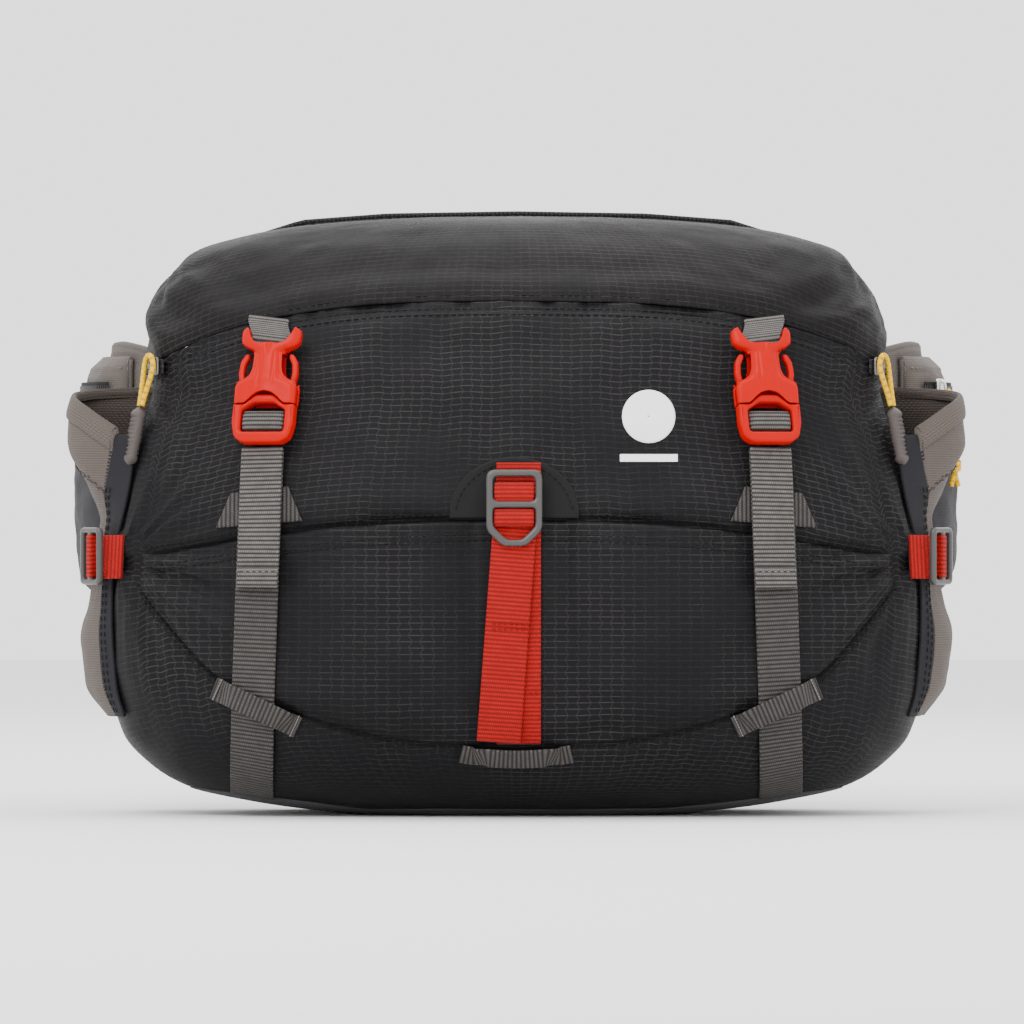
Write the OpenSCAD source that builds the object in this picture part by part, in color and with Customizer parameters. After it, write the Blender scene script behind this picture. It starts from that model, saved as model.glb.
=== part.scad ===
// Waist pack: a soft lumbar bag with a zipped lid, a stretch pocket on each side, a slot pocket
// in front behind two buckled straps, and a padded hip belt with a zipped pocket on each wing.
// +Z is up, the front of the bag faces -Y, and the origin is on the floor under the middle of the
// whole pack. Every shape below is written about the bag's own middle, and placed() moves it.

/* [Bag] */
// Width of the bag across its sides
bag_width = 376; // [372:1:380]
// How far the front of the bag stands out from its middle plane
front_depth = 89; // [87:1:91]
// Thickness of the bag's fabric with its lining and padding
fabric = 2; // [1.6:0.1:2.4]
// Thickness of a single layer of pocket fabric
pocket_fabric = 1.6; // [1.2:0.1:1.8]
// How far the front slot pocket puffs out between its straps
slot_puff = 10; // [8:0.5:11]
// How far the mouth of a side bottle pocket stands off the bag
bottle_mouth = 34; // [30:1:36]

/* [Webbing and buckles] */
// Width of the front and side webbing
webbing = 20; // [18:0.5:20.5]
// Thickness of all webbing
webbing_t = 1.5; // [1.2:0.1:1.6]
// Width of the hip belt's webbing
belt_webbing = 25; // [22:0.5:26]
// Sideways distance of each front strap from the middle
strap_x = 116; // [114:0.5:118]
// Thickness of the pull cords
cord_d = 2.5; // [2.2:0.1:2.6]

/* [Zips] */
// Radius of the arc that the main zip follows
zip_r = 260; // [258:1:262]
// Height of the top of the main zip
zip_top = 262; // [261:0.5:263]
// Angle from each side of the bag, forwards, at which its slider is parked
slider_park = 26; // [22:0.5:26]

/* [Hip belt] */
// Radius of the curve of each wing in plan
wing_r = 50; // [49:0.5:51]
// Thickness of the foam in each wing
wing_foam_t = 7; // [6:0.5:7]
// How far each hip pocket stands out from its wing
hip_puff = 13; // [11:0.5:13]
// Distance between the two open halves of the hip buckle
buckle_gap = 14; // [12:1:15]

/* [Hidden] */
$fn = 32;

// Distance from the bag's middle plane to the middle of the whole pack, hip belt included
pack_mid_y = 47;
gap = 0.4;                  // clearance between layers that lie on each other
zip_cz = zip_top - zip_r;   // height of the centre of the main zip's arc
zip_y = 41.3;               // front face of the main zip's tapes
zip_t = 3;                  // thickness of the tapes with their coil
ring_n = 44;                // points around the bag
front_n = 2.8;              // roundness of the bag's front corners in plan
back_n = 6;                 // and of its back corners

black = [0.09, 0.085, 0.09];
taupe = [0.42, 0.38, 0.36];
slate = [0.34, 0.33, 0.35];
grey = [0.4, 0.38, 0.37];
red = [0.84, 0.1, 0.06];
yellow = [0.8, 0.62, 0.16];

// ---- the bag's surface ----

// Half of the bag's width at height z, the lid included
function half_w(z) = bag_width / 376 * lookup(z, [
    [0, 70], [3, 100], [6, 120], [13, 151], [24, 169], [37, 180], [60, 186], [98, 188],
    [117, 187], [143, 182], [170, 174], [195, 165], [212, 169], [220, 169], [235, 165],
    [250, 155], [258, 147], [264, 130], [269, 106], [272, 75], [274, 40]]);
// The front of the bag at height z, on its middle line
function front(z) = lookup(z, [
    [0, -30], [6, -52], [13, -64], [24, -75], [37, -82], [60, 1 - front_depth],
    [98, -front_depth], [130, 3 - front_depth], [160, 9 - front_depth], [185, -73],
    [205, -66], [220, -59], [235, -50], [250, -37], [258, -28], [264, -18], [269, -8],
    [272, 2], [274, 20]]);
// The back of the bag at height z: it leans forward, off the back panel, towards the zip
function back(z) = lookup(z, [
    [0, 44], [6, 49], [20, 50], [120, 50], [140, 47], [165, 43], [190, 41], [215, 40.8],
    [250, 40.8], [262, 40], [268, 37], [272, 33], [274, 30]]);
// Where the front and back halves of a level meet
function mid_y(z) = lookup(z, [[200, 0], [250, 8], [274, 25]]);

function sign_pow(v, p) = sign(v) * pow(abs(v), p);
// A point of the bag's surface at height z, angle u round it, set in by a wall
function bag_point(z, u, inset, drop) =
    let (n = u < 0 || u > 180 ? front_n : back_n,
        y = mid_y(z),
        reach = (u < 0 || u > 180 ? front(z) + inset : back(z) - inset) - y)
    [(half_w(z) - inset) * sign_pow(cos(u), 2 / n), y + reach * pow(abs(sin(u)), 2 / n), z - drop];
// The front and side of the bag as height fields, set out by a distance
function front_y(x, z) = let (r = min(0.999, abs(x) / half_w(z)))
    mid_y(z) + (front(z) - mid_y(z)) * pow(1 - pow(r, front_n), 1 / front_n);
function side_x(y, z) = let (
        n = y < mid_y(z) ? front_n : back_n,
        reach = (y < mid_y(z) ? front(z) : back(z)) - mid_y(z),
        r = min(0.999, abs((y - mid_y(z)) / reach)))
    half_w(z) * pow(1 - pow(r, n), 1 / n);
function on_front(x, z, out) = [x, front_y(x, z) - out, z];
function on_side(y, z, out) = [side_x(y, z) + out, y, z];

// The seam where the lid begins: low at the sides, and an arc along the zip behind
function front_seam(x) = 233 - 30 * pow(abs(x) / 166, 3.2);
function back_seam(x) = zip_cz + sqrt(zip_r * zip_r - x * x);
function seam(u) = let (n = u < 0 || u > 180 ? front_n : back_n,
        x = 166 * sign_pow(cos(u), 2 / n))
    u < 0 || u > 180 ? front_seam(x) : max(203, back_seam(x));
// The seam across the front where the slot pocket opens, and the curved one at its foot
function mid_seam(x) = 134.5 - 17.5 * pow(x / 178, 2);
function foot_seam(x) = lookup(abs(x), [[0, 32], [50, 36], [97, 47], [132, 62.5], [159, 90], [176, 112]]);

// ---- solids made from rows of points ----

function flat(rows) = [for (r = rows) for (p = r) p];
// A closed solid through rings of n points each, capped at both ends
module ring_solid(rings) {
    n = len(rings[0]);
    last = len(rings) - 1;
    polyhedron(
        points = flat(rings),
        faces = concat(
            [for (k = [0 : last - 1]) for (i = [0 : n - 1]) let (j = (i + 1) % n)
                [k * n + i, (k + 1) * n + i, (k + 1) * n + j]],
            [for (k = [0 : last - 1]) for (i = [0 : n - 1]) let (j = (i + 1) % n)
                [k * n + i, (k + 1) * n + j, k * n + j]],
            [[for (i = [0 : n - 1]) i]],
            [[for (i = [n - 1 : -1 : 0]) last * n + i]]),
        convexity = 6);
}
// A closed sheet between an outer and an inner grid of points
module sheet_solid(outer, inner) {
    rows = len(outer);
    cols = len(outer[0]);
    under = rows * cols;
    edge = concat(
        [for (j = [0 : cols - 1]) j],
        [for (i = [1 : rows - 1]) i * cols + cols - 1],
        [for (j = [cols - 2 : -1 : 0]) (rows - 1) * cols + j],
        [for (i = [rows - 2 : -1 : 1]) i * cols]);
    m = len(edge);
    polyhedron(
        points = concat(flat(outer), flat(inner)),
        faces = concat(
            [for (i = [0 : rows - 2]) for (j = [0 : cols - 2]) for (f = [
                [0, cols + 1, 1], [0, cols, cols + 1],
                [under, under + 1, under + cols + 1], [under, under + cols + 1, under + cols]])
                [for (k = f) k + i * cols + j]],
            [for (k = [0 : m - 1]) let (a = edge[k], b = edge[(k + 1) % m])
                [a, b, under + b]],
            [for (k = [0 : m - 1]) let (a = edge[k], b = edge[(k + 1) % m])
                [a, under + b, under + a]]),
        convexity = 6);
}
// Values from a to b in n steps
function steps(a, b, n) = [for (i = [0 : n]) a + (b - a) * i / n];
// A band of webbing on the bag's front: each stop is [x, z, angle of its width, half width, height off
// the fabric], listed from the lowest up
module front_band(stops, t = webbing_t) {
    function row(s, out) = [for (w = [-1, 0, 1])
        on_front(s[0] + w * s[3] * cos(s[2]), s[1] + w * s[3] * sin(s[2]), s[4] + out)];
    sheet_solid([for (s = stops) row(s, t)], [for (s = stops) row(s, 0)]);
}
// A round tube along a route of points that lie near one upright plane
module tube(route, d, sides = 8) {
    last = len(route) - 1;
    function unit(v) = v / norm(v);
    function along(i) = unit(route[min(i + 1, last)] - route[max(i - 1, 0)]);
    ring_solid([for (i = [0 : last]) let (
            a = unit(cross(along(i), [0, 1, 0])),
            b = cross(along(i), a))
        [for (k = [0 : sides - 1])
            route[i] + d / 2 * (cos(360 * k / sides) * a + sin(360 * k / sides) * b)]]);
}
module placed() {
    translate([0, -pack_mid_y, 0]) children();
}
// side is 1 for the pack's +X half and -1 for the other, which is its mirror image
module on(side) {
    placed() mirror([side < 0 ? 1 : 0, 0, 0]) children();
}

// ---- bag ----

module main_shell() {
    floor_z = 2.4;
    rises = [0, 0.02, 0.055, 0.11, 0.18, 0.27, 0.42, 0.57, 0.7, 0.83, 0.93, 1];
    around = [for (i = [0 : ring_n - 1]) 360 * i / ring_n];
    function ring(t, inset) = [for (u = around)
        bag_point(floor_z + inset + (seam(u) - floor_z - inset) * t, u, inset, 0)];
    placed() color(black) ring_solid(concat(
        [for (t = rises) ring(t, 0)],
        [for (i = [len(rises) - 1 : -1 : 0]) ring(rises[i], fabric)]));
}

module base_panel() {
    placed() color(slate) translate([0, -2, 0]) linear_extrude(2) rounded(180, 88, 30);
}
// A rectangle with round corners, centred
module rounded(w, h, r) {
    square([w - 2 * r, h], center = true);
    square([w, h - 2 * r], center = true);
    for (x = [-1, 1], y = [-1, 1])
        translate([x * (w / 2 - r), y * (h / 2 - r)]) circle(r);
}

// The outline of the back panel, seen from the front, its right half and its left
panel_half = [[0, 0], [62, 0], [112, 7], [134, 15], [144, 30], [146, 50], [146, 215], [144, 236],
    [137, 253], [125, 265], [100, 273], [60, 276], [0, 277]];
module back_outline(inset) {
    function pull(p) = [max(0, p[0] - inset), p[1] + inset * (p[1] < 138 ? 1 : -1)];
    right = [for (p = panel_half) pull(p)];
    polygon(concat(right, [for (i = [len(right) - 2 : -1 : 1]) [-right[i][0], right[i][1]]]));
}
module upright(y, t) {
    translate([0, y + t, 0]) rotate([90, 0, 0]) linear_extrude(t) children();
}
panel_y = 53;
module back_panel() {
    placed() color(black) upright(panel_y, 2) back_outline(0);
}
module frame_sheet() {
    placed() color([0.75, 0.76, 0.78]) upright(panel_y + 2.2, 1.5) back_outline(9);
}
// A lumbar pad low in the middle and two taller pads beside the spine channel
module back_pads() {
    pad_y = panel_y + 4;
    placed() color(slate) {
        translate([0, 0, 52]) upright(pad_y, 10) rounded(244, 60, 26);
        for (x = [-1, 1]) translate([x * 66, 0, 162]) upright(pad_y, 10) rounded(104, 132, 30);
    }
}
// A low loop of webbing on the back panel's top edge, standing off far enough for fingers
module haul_handle() {
    handle = 55;
    sag = 17;
    placed() color(black) translate([0, panel_y + 4.2, 242]) linear_extrude(webbing) difference() {
        polygon(concat([for (x = steps(-handle, handle, 16)) [x, arch(x, handle, sag)]],
            [[handle, 0], [-handle, 0]]));
        polygon(concat([for (x = steps(8 - handle, handle - 8, 16)) [x, arch(x, handle - 8, sag - webbing_t)]],
            [[handle - 8, -1], [8 - handle, -1]]));
    }
}
function arch(x, half, rise) = rise * pow(1 - pow(abs(x) / half, 2.5), 0.7);

// ---- pockets ----

function slot_puff_at(x, v) = slot_puff * max(0, 1 - pow((abs(x) - 62) / 41, 2))
    * lookup(v, [[0, 0], [0.15, 0.65], [0.5, 1], [1, 0.9]]);
module front_pocket() {
    xs = steps(-166, 166, 26);
    rises = [0, 0.12, 0.3, 0.5, 0.75, 1];
    function row(v, out) = [for (x = xs) let (low = foot_seam(x), z = low + (mid_seam(x) - low) * v)
        on_front(x, z, 2 * gap + slot_puff_at(x, v) + out)];
    placed() color(black) sheet_solid(
        [for (v = rises) row(v, pocket_fabric)], [for (v = rises) row(v, 0)]);
}
// The arched patch that backs the middle strap's upper end
module tool_patch() {
    xs = steps(-29, 27, 10);
    function row(v, out) = [for (x = xs) let (low = mid_seam(x) + 1.5)
        on_front(x, low + (2 + 25 * sqrt(max(0, 1 - pow((x + 1) / 28.5, 2)))) * v, gap + out)];
    placed() color(black) sheet_solid([for (v = steps(0, 1, 3)) row(v, 1.2)],
        [for (v = steps(0, 1, 3)) row(v, 0)]);
}
bottle_y = -6;      // middle of the bottle pocket, front to back
bottle_half = 42;   // and half its width
strap_z = 118;      // height of the side strap that pinches it
function bottle_puff(y, z) = (1 - pow(abs(y - bottle_y) / bottle_half, 2.5)) * lookup(z,
    [[45, 2], [60, 9], [80, 10], [104, 4], [132, 4], [150, 14], [170, 26], [190, bottle_mouth]]);
module bottle_pocket(side) {
    ys = steps(bottle_y - bottle_half, bottle_y + bottle_half, 10);
    rises = [0, 0.05, 0.11, 0.19, 0.3, 0.42, 0.52, 0.61, 0.74, 0.87, 1];
    // The mouth dips towards the front
    function mouth(y) = lookup(y, [[-48, 152], [-40, 163], [-30, 176], [-18, 186], [-6, 190], [36, 195]]);
    function row(t, out) = [for (y = ys) let (z = 45 + (mouth(y) - 45) * t)
        on_side(y, z, 5.5 * gap + bottle_puff(y, z) + out)];
    on(side) color(taupe) sheet_solid(
        [for (t = rises) row(t, pocket_fabric)], [for (t = rises) row(t, 0)]);
}
module left_bottle_pocket() bottle_pocket(-1);
module right_bottle_pocket() bottle_pocket(1);

// ---- side straps ----

// How far a side strap lies off the bag at each place front to back
function side_strap_out(y) = 3.8 + 4.8 * pow(max(0, 1 - pow(abs(y - bottle_y) / 50, 2.5)), 0.8);
module side_strap(side) {
    ys = steps(-58, 40, 14);
    function row(dz, out) = [for (y = ys) on_side(y, strap_z + dz, side_strap_out(y) + out)];
    on(side) color(red) sheet_solid(
        [for (dz = [-webbing / 2, 0, webbing / 2]) row(dz, webbing_t)],
        [for (dz = [-webbing / 2, 0, webbing / 2]) row(dz, 0)]);
}
module left_side_strap() side_strap(-1);
module right_side_strap() side_strap(1);

// A flat ring with a bar across it, lying in the XZ plane: w across the webbing, h along it
module triglide(w, h, t, wire) {
    rotate([90, 0, 0]) translate([0, 0, -t / 2]) linear_extrude(t) difference() {
        rounded(w, h, 3);
        for (z = [-1, 1]) translate([0, z * (h - wire) / 4])
            square([w - 2 * wire, (h - 3 * wire) / 2], center = true);
    }
}
side_glide_y = -36;     // where the side triglide sits, front to back
side_glide_turn = 59;   // the way the strap faces there, turned from the front
module side_triglide(side) {
    at = on_side(side_glide_y, strap_z, side_strap_out(side_glide_y) + webbing_t);
    on(side) color(grey) translate(at) rotate([0, 0, side_glide_turn]) translate([0, -3.1, 0])
        rotate([0, 90, 0]) triglide(webbing + 6, 18, 3, 2.6);
}
module left_side_triglide() side_triglide(-1);
module right_side_triglide() side_triglide(1);

// ---- side release buckle, standing up in the XZ plane with its face to -Y ----

parting = 18;       // where the two halves meet
buckle_len = 52;
// Everything is extruded through the buckle's thickness t
module plate(t) {
    rotate([90, 0, 0]) translate([0, 0, -t / 2]) linear_extrude(t) children();
}
module box2(x, z0, z1) {
    translate([-x, z0]) square([2 * x, z1 - z0]);
}
module buckle_male() {
    difference() {
        plate(6) {
            translate([0, 8]) rounded(28, 16, 5);
            polygon([[-14, 8], [14, 8], [13, parting - 0.2], [-13, parting - 0.2]]);
        }
        plate(8) box2(10, 5.2, 15.2);
    }
    plate(2.6) box2(12, 9.4, 11.8);
    plate(3.4) box2(3.2, parting - 1, 30);
}
module buckle_prong() {
    plate(3.8) {
        translate([11.3, parting + 1.5]) circle(1.3);
        polygon([[10, parting + 1.5], [12.6, parting + 1.5], [12.6, 38], [11.8, 41], [10, 42]]);
    }
}
module buckle_female() {
    difference() {
        union() {
            plate(10) polygon([[-14.2, parting + 0.2], [14.2, parting + 0.2], [14.2, 26], [13, 28],
                [-13, 28], [-14.2, 26]]);
            plate(8) box2(7.3, 26, 46);
            plate(7) polygon([[-7.3, 42], [7.3, 42], [13.5, 47.5], [13.5, buckle_len], [10.5, buckle_len],
                [10.5, buckle_len - 1], [-10.5, buckle_len - 1], [-10.5, buckle_len], [-13.5, buckle_len],
                [-13.5, 47.5]]);
        }
        plate(4.6) box2(13, parting - 1, 30);
        plate(4.6) box2(4, 28, 34);
        plate(12) box2(10.4, 46.2, 48.6);
    }
}

// ---- front straps and their buckles ----

function strap_at(z) = strap_x + 0.036 * (116 - z);
buckle_z = 168.5;       // height of the foot of each front buckle
buckle_out = 8;         // from the bag's fabric to the middle of the buckle
buckle_tilt = 16.3;     // its top leans back with the bag
buckle_turn = 16.5;     // and its face turns out with the bag's side
module on_buckle(side) {
    x = strap_at(buckle_z);
    on(side) translate(on_front(x, buckle_z, buckle_out)) rotate([-buckle_tilt, 0, buckle_turn])
        children();
}
module front_male(side) {
    on_buckle(side) color(red) buckle_male();
}
module front_female(side) {
    on_buckle(side) color(red) buckle_female();
}
module front_prong(side, hand) {
    on_buckle(side) color(red) mirror([hand < 0 ? 1 : 0, 0, 0]) buckle_prong();
}
module left_buckle_male() front_male(-1);
module right_buckle_male() front_male(1);
module left_buckle_female() front_female(-1);
module right_buckle_female() front_female(1);
module left_outer_prong() front_prong(-1, 1);
module left_inner_prong() front_prong(-1, -1);
module right_outer_prong() front_prong(1, 1);
module right_inner_prong() front_prong(1, -1);

function stop(z, half, out) = [strap_at(z), z, 0, half, out];
// The short webbing that holds the upper half of each front buckle to the lid seam
module buckle_webbing(side) {
    on(side) color(grey) front_band([for (z = [206, 213, 220, 226]) stop(z, webbing / 2, 1)]);
}
module left_buckle_webbing() buckle_webbing(-1);
module right_buckle_webbing() buckle_webbing(1);

// Height of a front strap off the bag: over the slot pocket and the keepers at its mouth
function strap_out(z) = lookup(z, [[40, 1.3], [50, 3.1], [150, 3.1], [160, 1.3]]);
module front_strap(side) {
    on(side) color(grey) front_band([for (z = [15, 22, 32, 42, 52, 64, 80, 96, 112, 126, 140, 152, 162, 167])
        stop(z, webbing / 2, strap_out(z))]);
}
module left_front_strap() front_strap(-1);
module right_front_strap() front_strap(1);
// The loose end that hangs from the buckle, in front of the strap
tail_out = 5.4;
module strap_tail(side) {
    on(side) color(grey) front_band([for (z = [104, 112, 126, 140, 152, 160, 166])
        stop(z, webbing / 2 - 0.4, tail_out)]);
}
module left_strap_tail() strap_tail(-1);
module right_strap_tail() strap_tail(1);

// Short loops of webbing sewn along the two front seams: two under the straps at the slot pocket's
// mouth, two over them at its foot, and one at the foot of the middle strap
module webbing_keepers() {
    for (side = [-1, 1]) on(side) color(grey) {
        front_band([for (s = steps(-19, 19, 6)) [strap_at(138) + s, 139 - 0.1 * s, 90, 8 - 0.1 * abs(s), gap]], 1.1);
        front_band([for (s = steps(-21, 21, 12))
            [117 + s * cos(25), 50 + s * sin(25), 115, 5.5, abs(s) < 17 ? 5.8 : 2.8]]);
    }
    placed() color(grey) front_band([for (s = steps(-24, 24, 12))
        [s, 27 + pow(s / 24, 2) * 2, 90, 4.5, abs(s) < 17 ? 7.4 : 1]]);
}

// ---- middle strap ----

function center_out(z) = lookup(z, [[22, 1.3], [30, 3.1]]);
module center_strap() {
    placed() color(red) front_band([for (z = [34, 44, 60, 80, 98, 114, 130, 145, 160])
        [1, z, 0, webbing / 2, center_out(z)]]);
}
glide_z = 140;          // height of the middle triglide
glide_tilt = 9.5;       // it leans back with the bag
glide_out = 8.6;
module center_triglide() {
    placed() color(grey) translate(on_front(-1, glide_z, glide_out)) rotate([-glide_tilt, 0, 0])
        plate(3) difference() {
            union() {
                translate([0, 5]) rounded(25, 24, 4);
                translate([0, -4.5]) circle(12.5);
            }
            translate([0, 8.6]) rounded(18.6, 10.8, 2);
            translate([0, -4.5]) intersection() {
                circle(9.3);
                translate([-10, -10]) square([20, 15.6]);
            }
        }
}
// The webbing folded over the triglide's bar, and the loose end that hangs from it
module center_tail() {
    placed() color(red) front_band([for (z = [36, 46, 60, 78, 96, 112, 124, 134, 144])
        [-1 - (134 - z) * 0.045, z, 0, webbing / 2 - 1, center_out(z) + webbing_t + 0.6]]);
}

// ---- lid and main zip ----

module lid_shell() {
    crest = 274;
    rises = [0, 0.15, 0.35, 0.55, 0.72, 0.85, 0.94, 1];
    around = [for (i = [0 : ring_n - 1]) 360 * i / ring_n];
    // The lid's edge sits just above the bag's
    function edge(u) = seam(u) + gap;
    function ring(t, inset) = [for (u = around)
        bag_point(edge(u) + (crest - edge(u)) * t, u, inset, inset * t)];
    placed() color(black) ring_solid(concat(
        [for (i = [len(rises) - 1 : -1 : 0]) ring(rises[i], fabric)],
        [for (t = rises) ring(t, 0)]));
}
// An arc about the main zip's centre behind the bag, seen from the front, to either side of its top
module zip_arc(r0, r1, y, t, reach) {
    translate([0, y + t, zip_cz]) rotate([90, 0, 0]) rotate([0, 0, 90 - reach])
        rotate_extrude(angle = 2 * reach) translate([r0, 0]) square([r1 - r0, t]);
}
// A ring about an upright axis, between two angles in plan, t thick and h high from z
module upright_arc(axis, r, t, z, h, a0, a1) {
    translate([axis[0], axis[1], z]) rotate([0, 0, a0])
        rotate_extrude(angle = a1 - a0) translate([r, 0]) square([t, h]);
}
// The main zip's tapes run over the back of the bag and forwards along both of its sides, where
// they follow a curve about this axis
rim_axis = [104, 0];
rim_r = 65.4;
rim_z = 204.2;
module zip_tape(r0, r1, low) {
    placed() color([0.2, 0.2, 0.21]) zip_arc(r0, r1, zip_y, zip_t, 36.5);
    for (side = [-1, 1]) on(side) color([0.2, 0.2, 0.21])
        upright_arc(rim_axis, rim_r, 1.2, rim_z + low, 3.2, -31, 6);
}
module lid_zip_tape() zip_tape(zip_r + 0.3, zip_r + 3.5, 0.15);
module bag_zip_tape() zip_tape(zip_r - 3.5, zip_r - 0.1, -3.35);

slider_r = rim_r + 1.6;
module main_slider(side) {
    on(side) color([0.3, 0.3, 0.31]) {
        upright_arc(rim_axis, slider_r, 1.6, rim_z - 4.6, 9, -slider_park - 4.5, -slider_park + 4.5);
        on_rim() translate([0, -slider_r - 1.5, 0]) rotate([90, 0, 0]) cylinder(d = 3.4, h = 2.2);
    }
}
// Where a slider is parked: x runs backwards along the zip, and -y points away from the bag
module on_rim() {
    translate([rim_axis[0], rim_axis[1], rim_z]) rotate([0, 0, 90 - slider_park]) children();
}
module left_main_slider() main_slider(-1);
module right_main_slider() main_slider(1);

// The pull is a loop of cord with its two ends moulded into a grip. Points are [x, z] from the slider's
// stud, and the loop leans out with the side of the bag as it goes down.
pull_r = slider_r + 1.6 + cord_d / 2 + 0.3;
pull_lean = 0.2;
pull_route = [[-0.3, -18], [-1, -14], [-2.6, -9], [-4.2, -4], [-4.6, 0.6], [-2.4, 4.4], [1.4, 4.8],
    [4.4, 2], [4.8, -3], [3.8, -8.6], [3, -14], [2.7, -18]];
module pull_cord(side) {
    on(side) color(yellow) on_rim()
        tube([for (p = pull_route) [p[0], -pull_r + pull_lean * min(0, p[1]), p[1]]], cord_d);
}
module left_pull_cord() pull_cord(-1);
module right_pull_cord() pull_cord(1);
grip_len = 28;
module pull_grip(side) {
    on(side) color(grey) on_rim() translate([1.2, -pull_r - pull_lean * 18.2 - 0.4, -18.2])
        rotate([-atan(pull_lean), 0, 0]) translate([0, 0, -grip_len / 2]) plate(5.6) rounded(9, grip_len, 4);
}
module left_pull_grip() pull_grip(-1);
module right_pull_grip() pull_grip(1);

// ---- hip belt ----

wing_c = [138, 118];    // centre of each wing's curve in plan
wing_from = -66;
wing_to = 70;
wing_tip = [95, 187];
// A station is [angle, point in plan, way out, lowest and highest]: round the curve, then to the tip
function wing_point(a, r) = wing_c + r * [cos(a), sin(a)];
tip_out = [-sin(-18.5), cos(-18.5)];
stations = concat(
    [for (a = steps(wing_from, wing_to, 9)) [wing_point(a, wing_r), [cos(a), sin(a)],
        lookup(a, [[wing_from, 92], [-20, 88], [20, 92], [wing_to, 112]]),
        lookup(a, [[wing_from, 210], [-20, 216], [20, 214], [wing_to, 184]])]],
    [for (s = [0.5, 1]) let (from = wing_point(wing_to, wing_r)) [from + s * (wing_tip - from), tip_out,
        112 + 12 * s, 184 - 14 * s]]);
// A layer of the wing between two distances from its middle surface
module wing_layer(low, high) {
    function column(s, out) = [for (v = [0, 0.08, 0.3, 0.7, 0.92, 1]) let (
            crown = v == 0 || v == 1 ? 0.45 : v < 0.1 || v > 0.9 ? 0.85 : 1,
            r = out * crown)
        [s[0][0] + r * s[1][0], s[0][1] + r * s[1][1], s[2] + (s[3] - s[2]) * v]];
    sheet_solid([for (s = stations) column(s, low)], [for (s = stations) column(s, high)]);
}
module wing_cover(side) {
    on(side) color(taupe) wing_layer(3.2, 5.2);
}
module wing_foam(side) {
    on(side) color(black) wing_layer(3 - wing_foam_t, 2.8);
}
module left_wing_cover() wing_cover(-1);
module right_wing_cover() wing_cover(1);
module left_wing_foam() wing_foam(-1);
module right_wing_foam() wing_foam(1);

hip_from = -42;
hip_to = 58;
function hip_puff_at(z) = hip_puff * lookup(z, [[96, 0], [108, 0.8], [125, 1], [160, 1], [190, 0.72], [204, 0.5],
    [211, 0]]);
function hip_out(a, z) = hip_puff_at(z) * pow(max(0, 1 - pow(abs(a - 8) / 50, 4)), 0.6);
module hip_pocket(side) {
    zs = [96, 108, 125, 145, 160, 175, 190, 204, 211];
    function grid(out) = [for (a = steps(hip_from, hip_to, 10)) [for (z = zs)
        let (p = wing_point(a, wing_r + 5.6 + hip_out(a, z) + out)) [p[0], p[1], z]]];
    on(side) color(grey) sheet_solid(grid(0), grid(pocket_fabric));
}
module left_hip_pocket() hip_pocket(-1);
module right_hip_pocket() hip_pocket(1);

zip_z = 196;                                            // height of each hip pocket's zip
hip_zip_r = wing_r + 5.6 + hip_puff_at(zip_z - 3) + pocket_fabric + gap;
module hip_zip(side) {
    on(side) color([0.2, 0.2, 0.21]) upright_arc(wing_c, hip_zip_r, 1.6, zip_z - 3, 6, -35, 50);
}
module left_hip_zip() hip_zip(-1);
module right_hip_zip() hip_zip(1);
// The right pocket's slider is parked at the front of its zip, and the left one at the back
right_park = -29;
left_park = 43;
module hip_slider(side, a) {
    on(side) color([0.55, 0.55, 0.56]) {
        upright_arc(wing_c, hip_zip_r + 1.9, 1.6, zip_z - 4.5, 9, a - 4, a + 4);
        upright_arc(wing_c, hip_zip_r + 3.4, 1.5, zip_z - 1.5, 3, a - 1.5, a + 1.5);
    }
}
module left_hip_slider() hip_slider(-1, left_park);
module right_hip_slider() hip_slider(1, right_park);
// Points of a hip pull's cord: [outwards, along the zip, height] from its slider
hip_route = [[0, 0, 0], [3.4, 0.6, -3], [4.8, 1, -8], [5, 1.2, -14], [4.4, 1.2, -20], [3.6, 1, -26],
    [3, 0.8, -32], [3.2, 1.2, -38]];
module hip_cord(side, a) {
    r = hip_zip_r + 4.9 + cord_d / 2 + 0.2;
    on(side) color(yellow) translate([wing_c[0], wing_c[1], zip_z - 1]) rotate([0, 0, a])
        tube([for (p = hip_route) [r + p[0], p[1], p[2]]], cord_d);
}
module left_hip_cord() hip_cord(-1, left_park);
module right_hip_cord() hip_cord(1, right_park);

// The belt's webbing runs along X, from each wing's tip to the buckle between them
belt_y = 187;
belt_z = 148;
tip_x = 92.8;                   // where the webbing meets the wings' tips
belt_k = belt_webbing / 20;     // the belt's buckle is the front one, larger with its webbing
female_x = buckle_gap / 2 - parting * belt_k;
male_x = -buckle_gap / 2 - 42 * belt_k;
module left_belt_webbing() {
    placed() color(black) translate([-tip_x, belt_y - 5.6, belt_z - belt_webbing / 2])
        cube([tip_x + male_x + 14, webbing_t, belt_webbing]);
}
// The belt's free length on that side, which moves with the buckle
module belt_webbing_tail() {
    placed() color(black) translate([0.8 - tip_x, belt_y - 8.1, belt_z - belt_webbing / 2])
        cube([tip_x + male_x + 13, webbing_t, belt_webbing]);
}
module right_belt_webbing() {
    start = female_x + 53 * belt_k;
    placed() color(black) translate([start, belt_y - webbing_t / 2, belt_z - belt_webbing / 2])
        cube([tip_x - start, webbing_t, belt_webbing]);
}
// The buckle laid along X: its length runs towards +X, and its face looks to +Y
module on_belt(x) {
    placed() translate([x, belt_y, belt_z]) rotate([180, 0, 0]) rotate([0, 90, 0]) scale(belt_k) children();
}
module belt_buckle_female() {
    on_belt(female_x) color(black) buckle_female();
}
module belt_buckle_male() {
    on_belt(male_x) color(black) buckle_male();
}
module belt_upper_prong() {
    on_belt(male_x) color(black) buckle_prong();
}
module belt_lower_prong() {
    on_belt(male_x) color(black) mirror([1, 0, 0]) buckle_prong();
}

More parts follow.
